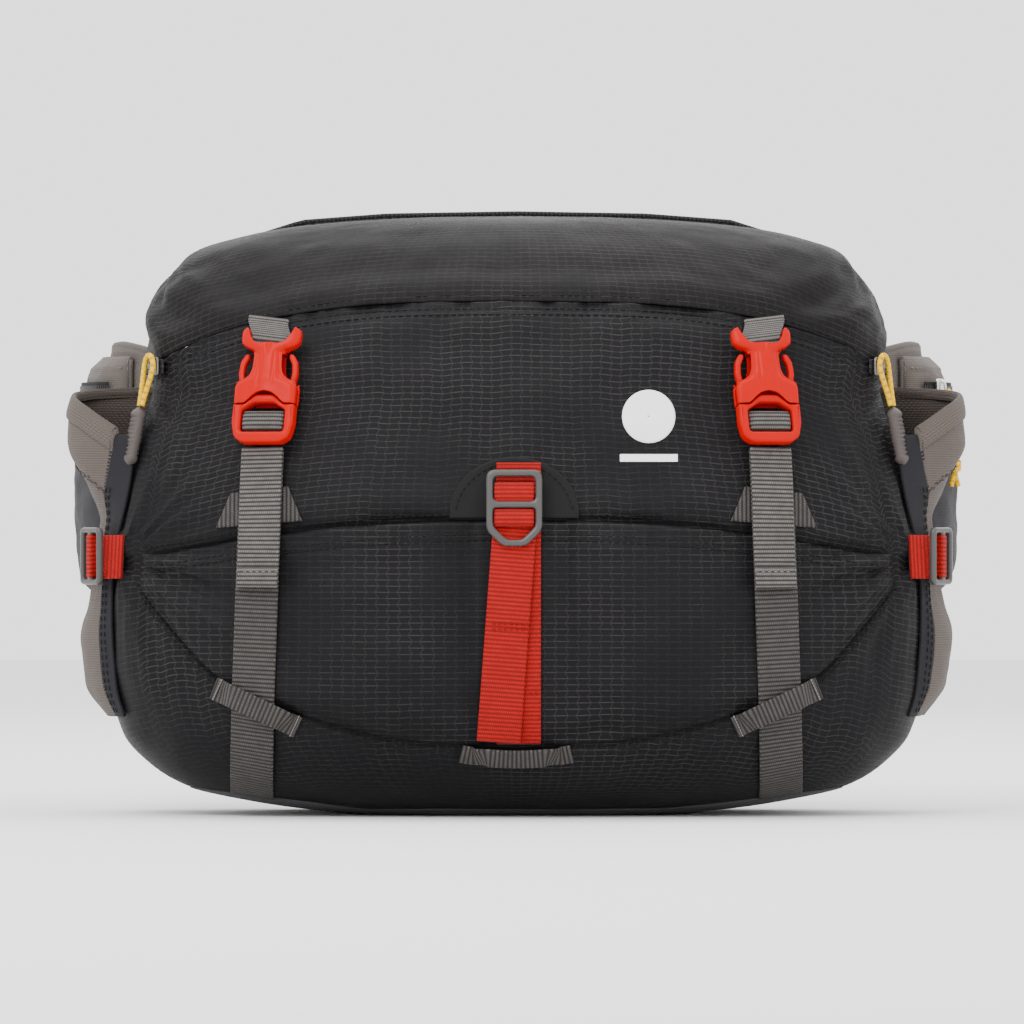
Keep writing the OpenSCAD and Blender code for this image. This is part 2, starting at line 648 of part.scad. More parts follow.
main_shell();
base_panel();
frame_sheet();
back_panel();
back_pads();
haul_handle();
front_pocket();
tool_patch();
left_bottle_pocket();
right_bottle_pocket();
left_side_strap();
right_side_strap();
left_side_triglide();
right_side_triglide();
left_buckle_webbing();
right_buckle_webbing();
left_buckle_female();
right_buckle_female();
left_buckle_male();
right_buckle_male();
left_outer_prong();
left_inner_prong();
right_outer_prong();
right_inner_prong();
left_front_strap();
right_front_strap();
left_strap_tail();
right_strap_tail();
webbing_keepers();
center_strap();
center_triglide();
center_tail();
lid_shell();
lid_zip_tape();
bag_zip_tape();
left_main_slider();
right_main_slider();
left_pull_cord();
right_pull_cord();
left_pull_grip();
right_pull_grip();
left_wing_cover();
right_wing_cover();
left_wing_foam();
right_wing_foam();
left_hip_pocket();
right_hip_pocket();
left_hip_zip();
right_hip_zip();
left_hip_slider();
right_hip_slider();
left_hip_cord();
right_hip_cord();
left_belt_webbing();
right_belt_webbing();
belt_webbing_tail();
belt_buckle_female();
belt_buckle_male();
belt_upper_prong();
belt_lower_prong();
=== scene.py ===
"""Looks of the waist pack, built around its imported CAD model.

Shapes are worked out in millimetres about the bag's own middle, as in part.scad, and place() turns
them into the row frame's metres.
"""
import math
import bmesh
import bpy
import numpy as np
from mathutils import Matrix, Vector, noise
from mathutils.bvhtree import BVHTree


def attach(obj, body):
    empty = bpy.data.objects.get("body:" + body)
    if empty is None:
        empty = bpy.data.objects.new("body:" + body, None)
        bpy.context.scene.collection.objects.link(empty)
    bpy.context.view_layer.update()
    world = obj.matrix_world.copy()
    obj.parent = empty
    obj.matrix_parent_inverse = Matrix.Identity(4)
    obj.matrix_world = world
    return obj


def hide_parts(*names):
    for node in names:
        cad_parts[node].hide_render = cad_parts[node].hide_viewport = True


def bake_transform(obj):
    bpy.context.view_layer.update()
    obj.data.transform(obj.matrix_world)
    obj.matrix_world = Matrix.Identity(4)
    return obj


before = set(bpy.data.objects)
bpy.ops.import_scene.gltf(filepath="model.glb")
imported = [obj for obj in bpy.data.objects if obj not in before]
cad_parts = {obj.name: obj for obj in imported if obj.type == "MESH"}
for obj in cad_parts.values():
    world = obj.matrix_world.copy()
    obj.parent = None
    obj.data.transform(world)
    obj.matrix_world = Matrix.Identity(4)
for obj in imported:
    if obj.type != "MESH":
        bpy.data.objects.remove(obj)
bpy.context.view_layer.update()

PACK_MID_Y = 47     # from the bag's middle plane to the middle of the whole pack
WEBBING, WEBBING_T, BELT_WEBBING = 20, 1.5, 25
CORD_D = 2.5
STRAP_X = 116       # the front straps' middle line, at the height 116
STRAP_Z = 118       # the side straps' height, where they pinch the bottle pockets
LID_TOP = 274
REAR_Z, REAR_R = 2, 260.0       # the lid's rear seam is an arc about this height
FRONT_POWER, BACK_POWER = 2.8, 6.0      # how square the bag's outline is ahead of its middle and behind it


# ---------------------------------------------------------------- the bag's surface

def curve(table):
    """A smooth function through a profile's points that never overshoots them."""
    x, y = np.array(table, float).T
    h = np.diff(x)
    d = np.diff(y) / h
    m = np.zeros_like(y)
    same = d[:-1] * d[1:] > 0
    a, b = 2 * h[1:] + h[:-1], h[1:] + 2 * h[:-1]
    safe = np.where(same, d[:-1], 1), np.where(same, d[1:], 1)
    m[1:-1] = np.where(same, (a + b) / (a / safe[0] + b / safe[1]), 0)
    m[0], m[-1] = d[0], d[-1]

    def at(v):
        v = np.clip(v, x[0], x[-1])
        i = np.clip(np.searchsorted(x, v, side="right") - 1, 0, len(h) - 1)
        t = (v - x[i]) / h[i]
        return ((2 * t**3 - 3 * t**2 + 1) * y[i] + (t**3 - 2 * t**2 + t) * h[i] * m[i]
                + (3 * t**2 - 2 * t**3) * y[i + 1] + (t**3 - t**2) * h[i] * m[i + 1])
    return at


half_w = curve([(0, 70), (3, 100), (6, 120), (13, 151), (24, 169), (37, 180), (60, 186), (98, 188),
                (117, 187), (143, 182), (170, 174), (195, 166.5), (212, 168.6), (220, 168.6), (235, 165),
                (250, 155), (258, 147), (264, 130), (269, 106), (272, 75), (274, 40)])
front = curve([(0, -30), (6, -52), (13, -64), (24, -75), (37, -82), (60, -88), (98, -89), (130, -86),
               (160, -80), (185, -73), (205, -66), (220, -59), (235, -50), (250, -37), (258, -28),
               (264, -18), (269, -8), (272, 2), (274, 20)])
back = curve([(0, 44), (6, 49), (20, 50), (120, 50), (140, 47), (165, 43), (190, 41), (215, 40.8),
              (250, 40.8), (262, 40), (268, 37), (272, 33), (274, 30)])
mid_y = curve([(200, 0), (250, 8), (274, 25)])
foot_seam_at = curve([(0, 32), (50, 36), (97, 47), (132, 62.5), (159, 90), (176, 112)])


def bag_point(u, z):
    """The bag's surface at angle u round it, the front being at -pi/2, and at height z."""
    s, c = np.sin(u), np.cos(u)
    n = np.where(s < 0, FRONT_POWER, BACK_POWER)
    y0 = mid_y(z)
    reach = np.where(s < 0, front(z), back(z)) - y0
    x = half_w(z) * np.sign(c) * np.abs(c) ** (2 / n)
    return np.stack([x, y0 + reach * np.abs(s) ** (2 / n), z + 0 * x], -1)


def front_y(x, z):
    """The y of the bag's smooth front at x and z."""
    r = np.minimum(0.999, np.abs(x) / half_w(z))
    return mid_y(z) + (front(z) - mid_y(z)) * (1 - r ** FRONT_POWER) ** (1 / FRONT_POWER)


def side_x(y, z):
    """The x of the bag's smooth right side at y and z."""
    ahead = y < mid_y(z)
    n = np.where(ahead, FRONT_POWER, BACK_POWER)
    reach = np.where(ahead, front(z), back(z)) - mid_y(z)
    r = np.minimum(0.999, np.abs((y - mid_y(z)) / reach))
    return half_w(z) * (1 - r ** n) ** (1 / n)


def on_front(x, z, out=0.0):
    x, z = np.broadcast_arrays(np.asarray(x, float), np.asarray(z, float))
    return np.stack([x, front_y(x, z) - out, z], -1)


def on_side(y, z, out=0.0):
    y, z = np.broadcast_arrays(np.asarray(y, float), np.asarray(z, float))
    return np.stack([side_x(y, z) + out, y, z], -1)


def front_seam(x):
    return 233 - 30 * (np.abs(x) / 166) ** 3.2


def mid_seam(x):
    return 134.5 - 17.5 * (x / 178) ** 2


def foot_seam(x):
    return foot_seam_at(np.abs(x))


def lid_seam(u):
    """The height of the seam under the lid at angle u round the bag."""
    s, c = np.sin(u), np.cos(u)
    x = 166 * np.sign(c) * np.abs(c) ** (2 / np.where(s < 0, FRONT_POWER, BACK_POWER))
    behind = REAR_Z + np.sqrt(REAR_R ** 2 - x ** 2)
    return np.where(s < 0, front_seam(x), np.maximum(203, behind))


def strap_at(z):
    """The x of a front strap's middle line: the straps lean in a little towards their tops."""
    return STRAP_X + 0.036 * (116 - z)


strap_out = curve([(0, 1.3), (40, 1.3), (50, 3.1), (150, 3.1), (160, 1.3), (300, 1.3)])
center_out = curve([(0, 1.3), (22, 1.3), (30, 3.1), (300, 3.1)])


def bump(v):
    """1 at v 0, falling to 0 by v 1."""
    v = np.clip(np.abs(v), 0, 1)
    return (1 - v * v) ** 2


def swirl(x, y, seed, octaves=3):
    """Smooth noise from -1 to 1 at each pair of coordinates."""
    x, y = np.broadcast_arrays(x, y)
    flat = [noise.fractal(Vector((a, b, seed)), 0.8, 2.0, octaves) for a, b in zip(x.ravel(), y.ravel())]
    return np.array(flat).reshape(x.shape)


PINCH_X = 178
PINCHES = ((STRAP_Z, 70, 4.4), (203, 50, 3.4))      # height, reach and size of the folds dragged there


def relief(x, z, seed, edges):
    """How far the soft front stands out: it puffs, drags towards where it is pinched, and puckers along
    its sewn edges. edges are the heights of the seams that bound it."""
    d = 2.1 * swirl(x / 75, z / 48, seed)
    for pinch_z, reach, size in PINCHES:
        for pinch_x in (-PINCH_X, PINCH_X):
            dx, dz = x - pinch_x, z - pinch_z
            r = np.hypot(dx, dz)
            turn = np.arctan2(dz, np.abs(dx))
            drag = swirl(turn * 3.4, r / 90, seed + pinch_z) * np.exp(-(r / reach) ** 1.5)
            d = d + size * drag * np.minimum(1, r / 12)
    for edge in edges:
        away = np.abs(z - edge)
        gather = swirl(x / 8.5, away / 30 + edge / 400, seed + 7, 2)
        d = d + 1.3 * gather * np.exp(-away / 9) * np.minimum(1, away / 2.5)
        d = d + 0.9 * bump((away - 9) / 9) - 1.1 * bump(away / 2.8)
    for side in (-1, 1):        # the straps hold it down
        press = bump((x - side * strap_at(z)) / 16)
        d = d * (1 - press) + press * -0.6
    press = bump((x - 1) / 15) * (z > 26) * (z < 172)
    return d * (1 - press) + press * -0.4


# ---------------------------------------------------------------- making meshes

def place(p):
    """Points in the bag's millimetres as the row frame's metres."""
    p = np.asarray(p, float)
    return (p - (0, PACK_MID_Y, 0)) / 1000


def link(obj):
    bpy.context.scene.collection.objects.link(obj)
    return obj


def add(name, mesh, body, material, stands_for=()):
    """A piece that rides on a body, and may stand for CAD nodes."""
    obj = link(bpy.data.objects.new(name, mesh))
    for m in material if isinstance(material, (list, tuple)) else [material]:
        mesh.materials.append(m)
    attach(obj, body)
    if stands_for:
        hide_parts(*([stands_for] if isinstance(stands_for, str) else stands_for))
    return obj


def mesh_of(name, points, faces, uvs=None, flip=False, smooth=True):
    mesh = bpy.data.meshes.new(name)
    if flip:
        faces = [f[::-1] for f in faces]
    mesh.from_pydata([tuple(p) for p in place(points)], [], faces)
    if uvs is not None:
        layer = mesh.uv_layers.new(name="cloth")
        loops = np.zeros(len(mesh.loops), np.int32)
        mesh.loops.foreach_get("vertex_index", loops)
        layer.data.foreach_set("uv", (np.asarray(uvs, float)[loops] / 1000).ravel().astype(np.float32))
    mesh.polygons.foreach_set("use_smooth", [smooth] * len(mesh.polygons))
    mesh.validate()
    return mesh


def lengths_along(p, axis):
    """Running length along one axis of a grid of points."""
    step = np.linalg.norm(np.diff(p, axis=axis), axis=-1)
    total = np.cumsum(step, axis=axis)
    zero = np.zeros_like(np.take(total, [0], axis=axis))
    return np.concatenate([zero, total], axis=axis)


def run_along(path):
    """Running length at each point of a path."""
    return lengths_along(path[:, None, :], 0)[:, 0]


def grid_faces(rows, cols, closed=False, start=0):
    last = cols if closed else cols - 1
    return [(start + i * cols + j, start + i * cols + (j + 1) % cols,
             start + (i + 1) * cols + (j + 1) % cols, start + (i + 1) * cols + j)
            for i in range(rows - 1) for j in range(last)]


def capped_faces(rows, cols, start=0):
    """Faces of a tube of points whose two ends are filled."""
    last = start + (rows - 1) * cols
    return grid_faces(rows, cols, True, start) + [tuple(range(start, start + cols))[::-1],
                                                  tuple(range(last, last + cols))]


def grid_normals(p, closed=False):
    if closed:
        du = np.roll(p, -1, 1) - np.roll(p, 1, 1)
    else:
        du = np.gradient(p, axis=1)
    n = np.cross(du, np.gradient(p, axis=0))
    return n / np.maximum(np.linalg.norm(n, axis=-1, keepdims=True), 1e-9)


def mirrored(p, side):
    """Shapes are drawn for the right side, where side is 1."""
    return np.asarray(p, float) * (side, 1, 1)


def grid_piece(name, p, body, material, stands_for=(), side=1, thick=0.0, uv=None, closed=False,
               inside_out=False, smoother=0):
    """A piece of fabric over a grid of points [row][column]. Its outer face is where row x column points,
    and thick is laid on behind that face."""
    rows, cols = p.shape[:2]
    if uv is None:
        uv = np.stack([lengths_along(p, 1).mean(0)[None, :] + 0 * p[..., 0], lengths_along(p, 0)], -1)
    mesh = mesh_of(name, mirrored(p.reshape(-1, 3), side), grid_faces(rows, cols, closed), uv.reshape(-1, 2),
                   flip=(side < 0) != inside_out)
    obj = add(name, mesh, body, material, stands_for)
    if thick:
        wall = obj.modifiers.new("wall", "SOLIDIFY")
        wall.thickness, wall.offset = thick / 1000, -1
        wall.material_offset = 1 if len(mesh.materials) > 1 else 0
    if smoother:
        sub = obj.modifiers.new("smoother", "SUBSURF")
        sub.levels = sub.render_levels = smoother
    return obj


def frame_along(p):
    """Direction of travel at each point of a path."""
    t = np.gradient(np.asarray(p, float), axis=0)
    return t / np.maximum(np.linalg.norm(t, axis=-1, keepdims=True), 1e-9)


def band(name, middle, outward, width, thick, body, material, stands_for=(), side=1, crown=0.0,
         across=None):
    """Webbing along a path of its middle line: outward is the way its face looks at each point, or across
    the way its width runs. Its edges are rounded."""
    p = np.asarray(middle, float)
    o = np.asarray(outward, float) + 0 * p
    t = frame_along(p)
    across = np.cross(t, o) if across is None else np.asarray(across, float) + 0 * p
    across = across / np.linalg.norm(across, axis=-1, keepdims=True)
    o = np.cross(across, t)
    w = np.asarray(width, float) / 2 + 0 * p[:, 0]
    lift, bevel = thick / 2, thick / 2 * 0.7
    right = [(1, 0, lift), (1, bevel, bevel), (1, lift, 0), (1, bevel, -bevel), (1, 0, -lift)]
    left = [(-s, -e, h) for s, e, h in right[::-1]]
    top = [(-0.5, 0, lift + crown * 0.7), (0, 0, lift + crown), (0.5, 0, lift + crown * 0.7)]
    shape = [*left, *top, *right, (0, 0, -lift)]
    rings = np.stack([p + across * (s * (w - lift) + e)[:, None] + o * h for s, e, h in shape], 1)
    rows, cols = rings.shape[:2]
    run = run_along(p)[:, None] + np.zeros((rows, cols))
    uv = np.stack([w[:, None] * [s for s, _, _ in shape], run], -1)
    mesh = mesh_of(name, mirrored(rings.reshape(-1, 3), side), capped_faces(rows, cols), uv.reshape(-1, 2),
                   flip=side < 0)
    fix_normals(mesh)
    return add(name, mesh, body, material, stands_for)


def fix_normals(mesh):
    bm = bmesh.new()
    bm.from_mesh(mesh)
    bmesh.ops.recalc_face_normals(bm, faces=bm.faces)
    bm.to_mesh(mesh)
    bm.free()


def tube_mesh(name, p, radius, sides=10, side=1):
    """A round tube along a path of points, with closed ends. radius is one number or one for each point."""
    p = np.asarray(p, float)
    t = frame_along(p)
    a = np.cross(t[0], (0.31, 0.2, 0.93))
    normals = []
    for k in range(len(p)):
        a = a - t[k] * np.dot(a, t[k])
        a = a / np.linalg.norm(a)
        normals.append(a)
    a = np.array(normals)
    b = np.cross(t, a)
    r = np.asarray(radius, float) + 0 * p[:, 0]
    turn = np.linspace(0, 2 * math.pi, sides, endpoint=False)
    rings = p[:, None] + r[:, None, None] * (np.cos(turn)[None, :, None] * a[:, None]
                                             + np.sin(turn)[None, :, None] * b[:, None])
    rows = len(p)
    uv = np.stack([np.broadcast_to(turn[None] / (2 * math.pi) * 8, (rows, sides)),
                   np.broadcast_to(run_along(p)[:, None], (rows, sides))], -1)
    mesh = mesh_of(name, mirrored(rings.reshape(-1, 3), side), capped_faces(rows, sides), uv.reshape(-1, 2),
                   flip=side < 0)
    fix_normals(mesh)
    return mesh


def rounded_route(points, per_span=8):
    """A smooth route through given points."""
    p = np.asarray(points, float)
    ends = np.concatenate([[2 * p[0] - p[1]], p, [2 * p[-1] - p[-2]]])
    out = []
    for k in range(1, len(ends) - 2):
        a, b, c, d = ends[k - 1], ends[k], ends[k + 1], ends[k + 2]
        for t in np.linspace(0, 1, per_span, endpoint=False):
            out.append(0.5 * (2 * b + (c - a) * t + (2 * a - 5 * b + 4 * c - d) * t * t
                              + (3 * b - a - 3 * c + d) * t ** 3))
    return np.array(out + [p[-1]])


def resample(p, pitch):
    """Points a pitch apart along a path, and the way it goes at each."""
    p = np.asarray(p, float)
    run = run_along(p)
    n = max(2, int(run[-1] / pitch) + 1)
    s = np.linspace(0, run[-1], n)
    q = np.stack([np.interp(s, run, p[:, k]) for k in range(3)], -1)
    return q, frame_along(q)


STITCH = ((-0.5, 0.25, -0.25), (-0.32, 0.9, 0.05), (0.32, 0.9, 0.05), (0.5, 0.25, -0.25))


def stitches(name, paths, outward, body, material, pitch=3.4, length=2.5, d=0.62, side=1):
    """Rows of thread lying on fabric: outward gives the way out of the fabric at a point."""
    points, faces = [], []
    turn = np.linspace(0, 2 * math.pi, 6, endpoint=False)
    for path in paths:
        q, t = resample(path, pitch)
        for c, along in zip(q, t):
            o = np.asarray(outward(c) if callable(outward) else outward, float)
            across = np.cross(along, o)
            across /= np.linalg.norm(across)
            o = np.cross(across, along)
            faces += capped_faces(len(STITCH), len(turn), len(points))
            for s, r, h in STITCH:
                for w in turn:
                    points.append(c + along * s * length + across * math.cos(w) * r * d / 2
                                  + o * (math.sin(w) * r * d / 2 + h * d))
    mesh = mesh_of(name, mirrored(points, side), faces, np.zeros((len(points), 2)), flip=side > 0)
    return add(name, mesh, body, material)


# ---------------------------------------------------------------- materials

class Paint:
    """A material's nodes, written briefly. Lengths in its patterns are metres of cloth."""

    def __init__(self, name, roughness=0.6):
        self.material = bpy.data.materials.new(name)
        self.material.use_nodes = True
        self.tree = self.material.node_tree
        self.shader = self.tree.nodes["Principled BSDF"]
        self.shader.inputs["Roughness"].default_value = roughness

    def node(self, kind, **settings):
        n = self.tree.nodes.new("ShaderNode" + kind)
        for k, v in settings.items():
            setattr(n, k, v)
        return n

    def join(self, value, socket):
        if hasattr(value, "is_output"):
            self.tree.links.new(value, socket)
        else:
            socket.default_value = value

    def math(self, operation, a, b=0.0, c=0.0):
        n = self.node("Math", operation=operation)
        for k, v in enumerate((a, b, c)):
            self.join(v, n.inputs[k])
        return n.outputs[0]

    def cloth(self):
        n = self.node("UVMap", uv_map="cloth")
        split = self.node("SeparateXYZ")
        self.tree.links.new(n.outputs[0], split.inputs[0])
        return split.outputs[0], split.outputs[1]

    def object_place(self):
        return self.node("TexCoord").outputs["Object"]

    def grain(self, size, detail=3.0, rough=0.55, stretch=(1, 1, 1)):
        """Noise in the object's own space whose features are about size metres."""
        m = self.node("Mapping")
        self.tree.links.new(self.object_place(), m.inputs[0])
        m.inputs["Scale"].default_value = stretch
        n = self.node("TexNoise")
        self.tree.links.new(m.outputs[0], n.inputs["Vector"])
        n.inputs["Scale"].default_value = 1 / size
        n.inputs["Detail"].default_value = detail
        n.inputs["Roughness"].default_value = rough
        return n.outputs["Fac"]

    def ramp(self, value, low, high, out_low=0.0, out_high=1.0):
        n = self.node("MapRange", interpolation_type="SMOOTHSTEP")
        for k, v in enumerate((value, low, high, out_low, out_high)):
            self.join(v, n.inputs[k])
        return n.outputs[0]

    def mix(self, share, a, b):
        n = self.node("Mix", data_type="RGBA")
        self.join(share, n.inputs["Factor"])
        self.join(a if hasattr(a, "is_output") else (*a, 1), n.inputs["A"])
        self.join(b if hasattr(b, "is_output") else (*b, 1), n.inputs["B"])
        return n.outputs["Result"]

    def shade(self, color, roughness=None, height=None, bump_mm=0.1, **constants):
        self.join(color if hasattr(color, "is_output") else (*color, 1), self.shader.inputs["Base Color"])
        if roughness is not None:
            self.join(roughness, self.shader.inputs["Roughness"])
        if height is not None:
            b = self.node("Bump")
            b.inputs["Strength"].default_value = 1.0
            b.inputs["Distance"].default_value = bump_mm / 1000
            self.tree.links.new(height, b.inputs["Height"])
            self.tree.links.new(b.outputs[0], self.shader.inputs["Normal"])
        for k, v in constants.items():
            socket = self.shader.inputs[k.replace("_", " ")]
            socket.default_value = (*v, 1) if isinstance(v, tuple) else v
        return self.material


def tint(color, k):
    return tuple(min(1, k * c) for c in color)


def wave(p, value, period, sharp=1.0):
    """0 to 1 and back along value, once a period."""
    turn = p.math("MULTIPLY", value, 2 * math.pi / period)
    w = p.math("MULTIPLY_ADD", p.math("COSINE", turn), 0.5, 0.5)
    return p.math("POWER", w, sharp) if sharp != 1 else w


def ripstop(name, base, line, column=0.0050, row=0.00285):
    """Thin nylon with a honeycomb of thicker threads: level threads at each row, brighter on every other
    cell, and zigzag ones between them."""
    p = Paint(name)
    u, v = p.cloth()
    sway = p.grain(0.02, 2)
    v = p.math("MULTIPLY_ADD", sway, 0.0006, v)
    zig = p.math("PINGPONG", v, row)
    zig = p.math("MULTIPLY_ADD", zig, 0.32 / row, -0.16)
    across = p.math("FLOORED_MODULO", p.math("DIVIDE", u, column), 2.0)
    first = p.math("ABSOLUTE", p.math("SUBTRACT", across, p.math("ADD", zig, 0.5)))
    second = p.math("ABSOLUTE", p.math("SUBTRACT", across, p.math("SUBTRACT", 1.5, zig)))
    upright = p.math("MINIMUM", first, second)
    upright = p.ramp(upright, 0.03, 0.085, 1, 0)
    between = p.math("MULTIPLY", p.math("GREATER_THAN", across, p.math("ADD", zig, 0.5)),
                     p.math("LESS_THAN", across, p.math("SUBTRACT", 1.5, zig)))
    steps = p.math("DIVIDE", v, row)
    nearest = p.math("ROUND", steps)
    level = p.ramp(p.math("ABSOLUTE", p.math("SUBTRACT", steps, nearest)), 0.05, 0.14, 1, 0)
    odd = p.math("FLOORED_MODULO", nearest, 2.0)
    bright = p.math("ABSOLUTE", p.math("SUBTRACT", odd, between))
    level = p.math("MULTIPLY", level, p.math("MULTIPLY_ADD", bright, 0.5, 0.5))
    fade = p.ramp(p.grain(0.05, 3), 0.35, 0.65, 0.25, 1.0)
    net = p.math("MULTIPLY", p.math("MAXIMUM", level, p.math("MULTIPLY", upright, 0.5)), fade)
    weave = p.math("ADD", wave(p, u, 0.00055), wave(p, v, 0.00055))
    color = p.mix(p.grain(0.06, 3), tint(base, 0.85), tint(base, 1.18))
    color = p.mix(net, color, line)
    height = p.math("MULTIPLY_ADD", weave, 0.18, net)
    height = p.math("MULTIPLY_ADD", p.grain(0.004, 4), 0.9, height)
    rough = p.math("MULTIPLY_ADD", p.grain(0.01, 3), 0.14, 0.46)
    return p.shade(color, rough, height, 0.16, Specular_IOR_Level=0.1)


def webbing(name, base, light, rib=0.00195, twill=0.00105):
    """Woven tape: rounded ribs across it, each made of twisted yarns. Its colour runs from base, painted
    shade in the grooves, to light, a painted highlight on the ribs' crests.
    """
    p = Paint(name)
    u, v = p.cloth()
    ribs = p.math("DIVIDE", v, rib)
    odd = p.math("FLOORED_MODULO", p.math("FLOOR", ribs), 2.0)
    rise = wave(p, p.math("ADD", v, rib / 2), rib, 0.7)
    yarn = wave(p, p.math("MULTIPLY_ADD", odd, twill / 2, u), twill, 0.6)
    height = p.math("MULTIPLY", rise, p.math("MULTIPLY_ADD", yarn, 0.45, 0.55))
    # painted light and shade: the ribs' crests are painted light and the grooves between them dark
    lit = p.math("MULTIPLY", height, p.ramp(p.grain(0.004, 4), 0.25, 0.75, 0.75, 1.0))
    color = p.mix(lit, base, light)
    color = p.mix(p.math("MULTIPLY", p.grain(0.02, 3), 0.3), color, tint(base, 0.6))
    height = p.math("MULTIPLY_ADD", p.grain(0.0006, 2), 0.25, height)
    return p.shade(color, 0.78, height, 0.42, Sheen_Weight=0.03, Specular_IOR_Level=0.2)


def knit(name, base, pitch=0.0011, bump_mm=0.18, depth=0.35, sheen=0.35):
    """Fine stretch knit: small offset stitches."""
    p = Paint(name)
    u, v = p.cloth()
    rows = p.math("DIVIDE", v, pitch)
    odd = p.math("FLOORED_MODULO", p.math("FLOOR", rows), 2.0)
    dots = p.math("MULTIPLY", wave(p, p.math("MULTIPLY_ADD", odd, pitch / 2, u), pitch), wave(p, v, pitch))
    mottle = p.ramp(p.grain(0.03, 4), 0.25, 0.75, 0.88, 1.1)
    color = p.mix(dots, tint(base, 1 - depth), tint(base, 1 + depth))
    color = p.mix(p.math("SUBTRACT", 1.1, mottle), color, tint(base, 0.6))
    height = p.math("MULTIPLY_ADD", p.grain(0.0012, 3), 0.6, dots)
    return p.shade(color, 0.85, height, bump_mm, Sheen_Weight=sheen * 0.25, Specular_IOR_Level=0.2)


def air_mesh(name, base, pitch=0.0042):
    """Spacer mesh with rows of round holes, whose insides are painted dark as shade."""
    p = Paint(name)
    u, v = p.cloth()
    rows = p.math("FLOOR", p.math("DIVIDE", v, pitch))
    shift = p.math("MULTIPLY", p.math("FLOORED_MODULO", rows, 2.0), pitch / 2)
    a = p.math("SUBTRACT", p.math("FLOORED_MODULO", p.math("ADD", u, shift), pitch), pitch / 2)
    b = p.math("SUBTRACT", p.math("FLOORED_MODULO", v, pitch), pitch / 2)
    r = p.math("SQRT", p.math("ADD", p.math("MULTIPLY", a, a), p.math("MULTIPLY", b, b)))
    solid = p.ramp(r, pitch * 0.2, pitch * 0.34)
    # the holes are painted at a quarter of the cloth's colour: painted shade inside them
    color = p.mix(solid, tint(base, 0.25), base)
    height = p.math("MULTIPLY_ADD", p.grain(0.0008, 3), 0.3, solid)
    return p.shade(color, 0.9, height, 0.8, Sheen_Weight=0.04, Specular_IOR_Level=0.15)


def plastic(name, base, roughness=0.32, spread=0.08, gloss=0.35):
    p = Paint(name)
    color = p.mix(p.grain(0.02, 3), tint(base, 0.93), tint(base, 1.06))
    rough = p.math("MULTIPLY_ADD", p.grain(0.003, 4), spread, roughness - spread / 2)
    return p.shade(color, rough, p.grain(0.0005, 2), 0.015, Specular_IOR_Level=gloss)


def metal(name, base, roughness=0.3):
    p = Paint(name)
    rough = p.math("MULTIPLY_ADD", p.grain(0.002, 4), 0.15, roughness)
    color = p.mix(p.ramp(p.grain(0.004, 4), 0.45, 0.75), base, tint(base, 0.7))
    return p.shade(color, rough, p.grain(0.0007, 3), 0.02, Metallic=1.0)


def braid(name, base, shadow, pitch=0.0016):
    """Round cord: two sets of yarns that cross as they wind round it."""
    p = Paint(name)
    u, v = p.cloth()
    a = wave(p, p.math("ADD", v, p.math("MULTIPLY", u, pitch * 250)), pitch * 2, 0.6)
    b = wave(p, p.math("SUBTRACT", v, p.math("MULTIPLY", u, pitch * 250)), pitch * 2, 0.6)
    height = p.math("MAXIMUM", a, b)
    color = p.mix(height, shadow, base)
    return p.shade(color, 0.6, height, 0.2, Specular_IOR_Level=0.12)


def thread(name, base):
    p = Paint(name)
    color = p.mix(p.grain(0.0015, 2), tint(base, 0.7), base)
    return p.shade(color, 0.7, p.grain(0.0004, 2), 0.08, Sheen_Weight=0.02, Specular_IOR_Level=0.15)


BLACK = ripstop("black_ripstop_cloth", (0.0046, 0.0041, 0.005), (0.027, 0.025, 0.025))
BLACK_PLAIN = knit("black_plain_cloth", (0.008, 0.0078, 0.0085), 0.0006, 0.05, 0.12, 0.1)
BLACK_LID = ripstop("black_ripstop_lid", (0.0052, 0.0044, 0.0047), (0.024, 0.022, 0.021))
SLATE = knit("slate_cloth", (0.013, 0.0127, 0.0158), 0.0008, 0.08, 0.15, 0.08)
BASE = knit("base_cloth_weave", (0.06, 0.058, 0.066), 0.0008, 0.08, 0.15, 0.2)
TAUPE = knit("stretch_knit", (0.098, 0.079, 0.069), sheen=0.2)
WING = knit("wing_cloth", (0.1, 0.084, 0.075), 0.0009, 0.12, 0.2)
WING_INSIDE = air_mesh("wing_spacer_mesh", (0.01, 0.009, 0.01))
HIP = knit("hip_cloth", (0.028, 0.027, 0.03), 0.0007, 0.07, 0.12, 0.2)
BACK_MESH = air_mesh("back_spacer_mesh", (0.03, 0.03, 0.034))
PAD_MESH = air_mesh("pad_spacer_mesh", (0.055, 0.055, 0.062), 0.0052)
LINING = knit("lining_cloth", (0.02, 0.17, 0.19), 0.0006, 0.04, 0.08, 0.1)
GREY_WEB = webbing("grey_tape", (0.009, 0.0082, 0.0078), (0.175, 0.162, 0.15))
# A darker copy of the grey tape, standing for painted shade: it is used for the lower straps and the
# keepers.
GREY_WEB_SHADED = webbing("grey_tape_painted_shade", (0.01, 0.009, 0.0085), (0.092, 0.083, 0.077))
RED_WEB = webbing("red_tape", (0.15, 0.001, 0.0006), (0.46, 0.003, 0.0015))
BLACK_WEB = webbing("black_tape", (0.006, 0.006, 0.006), (0.035, 0.034, 0.035))
RED_PLASTIC = plastic("red_acetal", (0.42, 0.001, 0.0003), 0.26, 0.06, 0.07)
BLACK_PLASTIC = plastic("black_acetal", (0.014, 0.014, 0.015), 0.36)
GREY_PLASTIC = plastic("grey_nylon", (0.05, 0.047, 0.045), 0.3)
ZIP_TAPE = knit("zip_tape_cloth", (0.018, 0.018, 0.019), 0.0009, 0.1, 0.3, 0.1)
ZIP_TEETH = plastic("zip_coil", (0.02, 0.02, 0.021), 0.4)
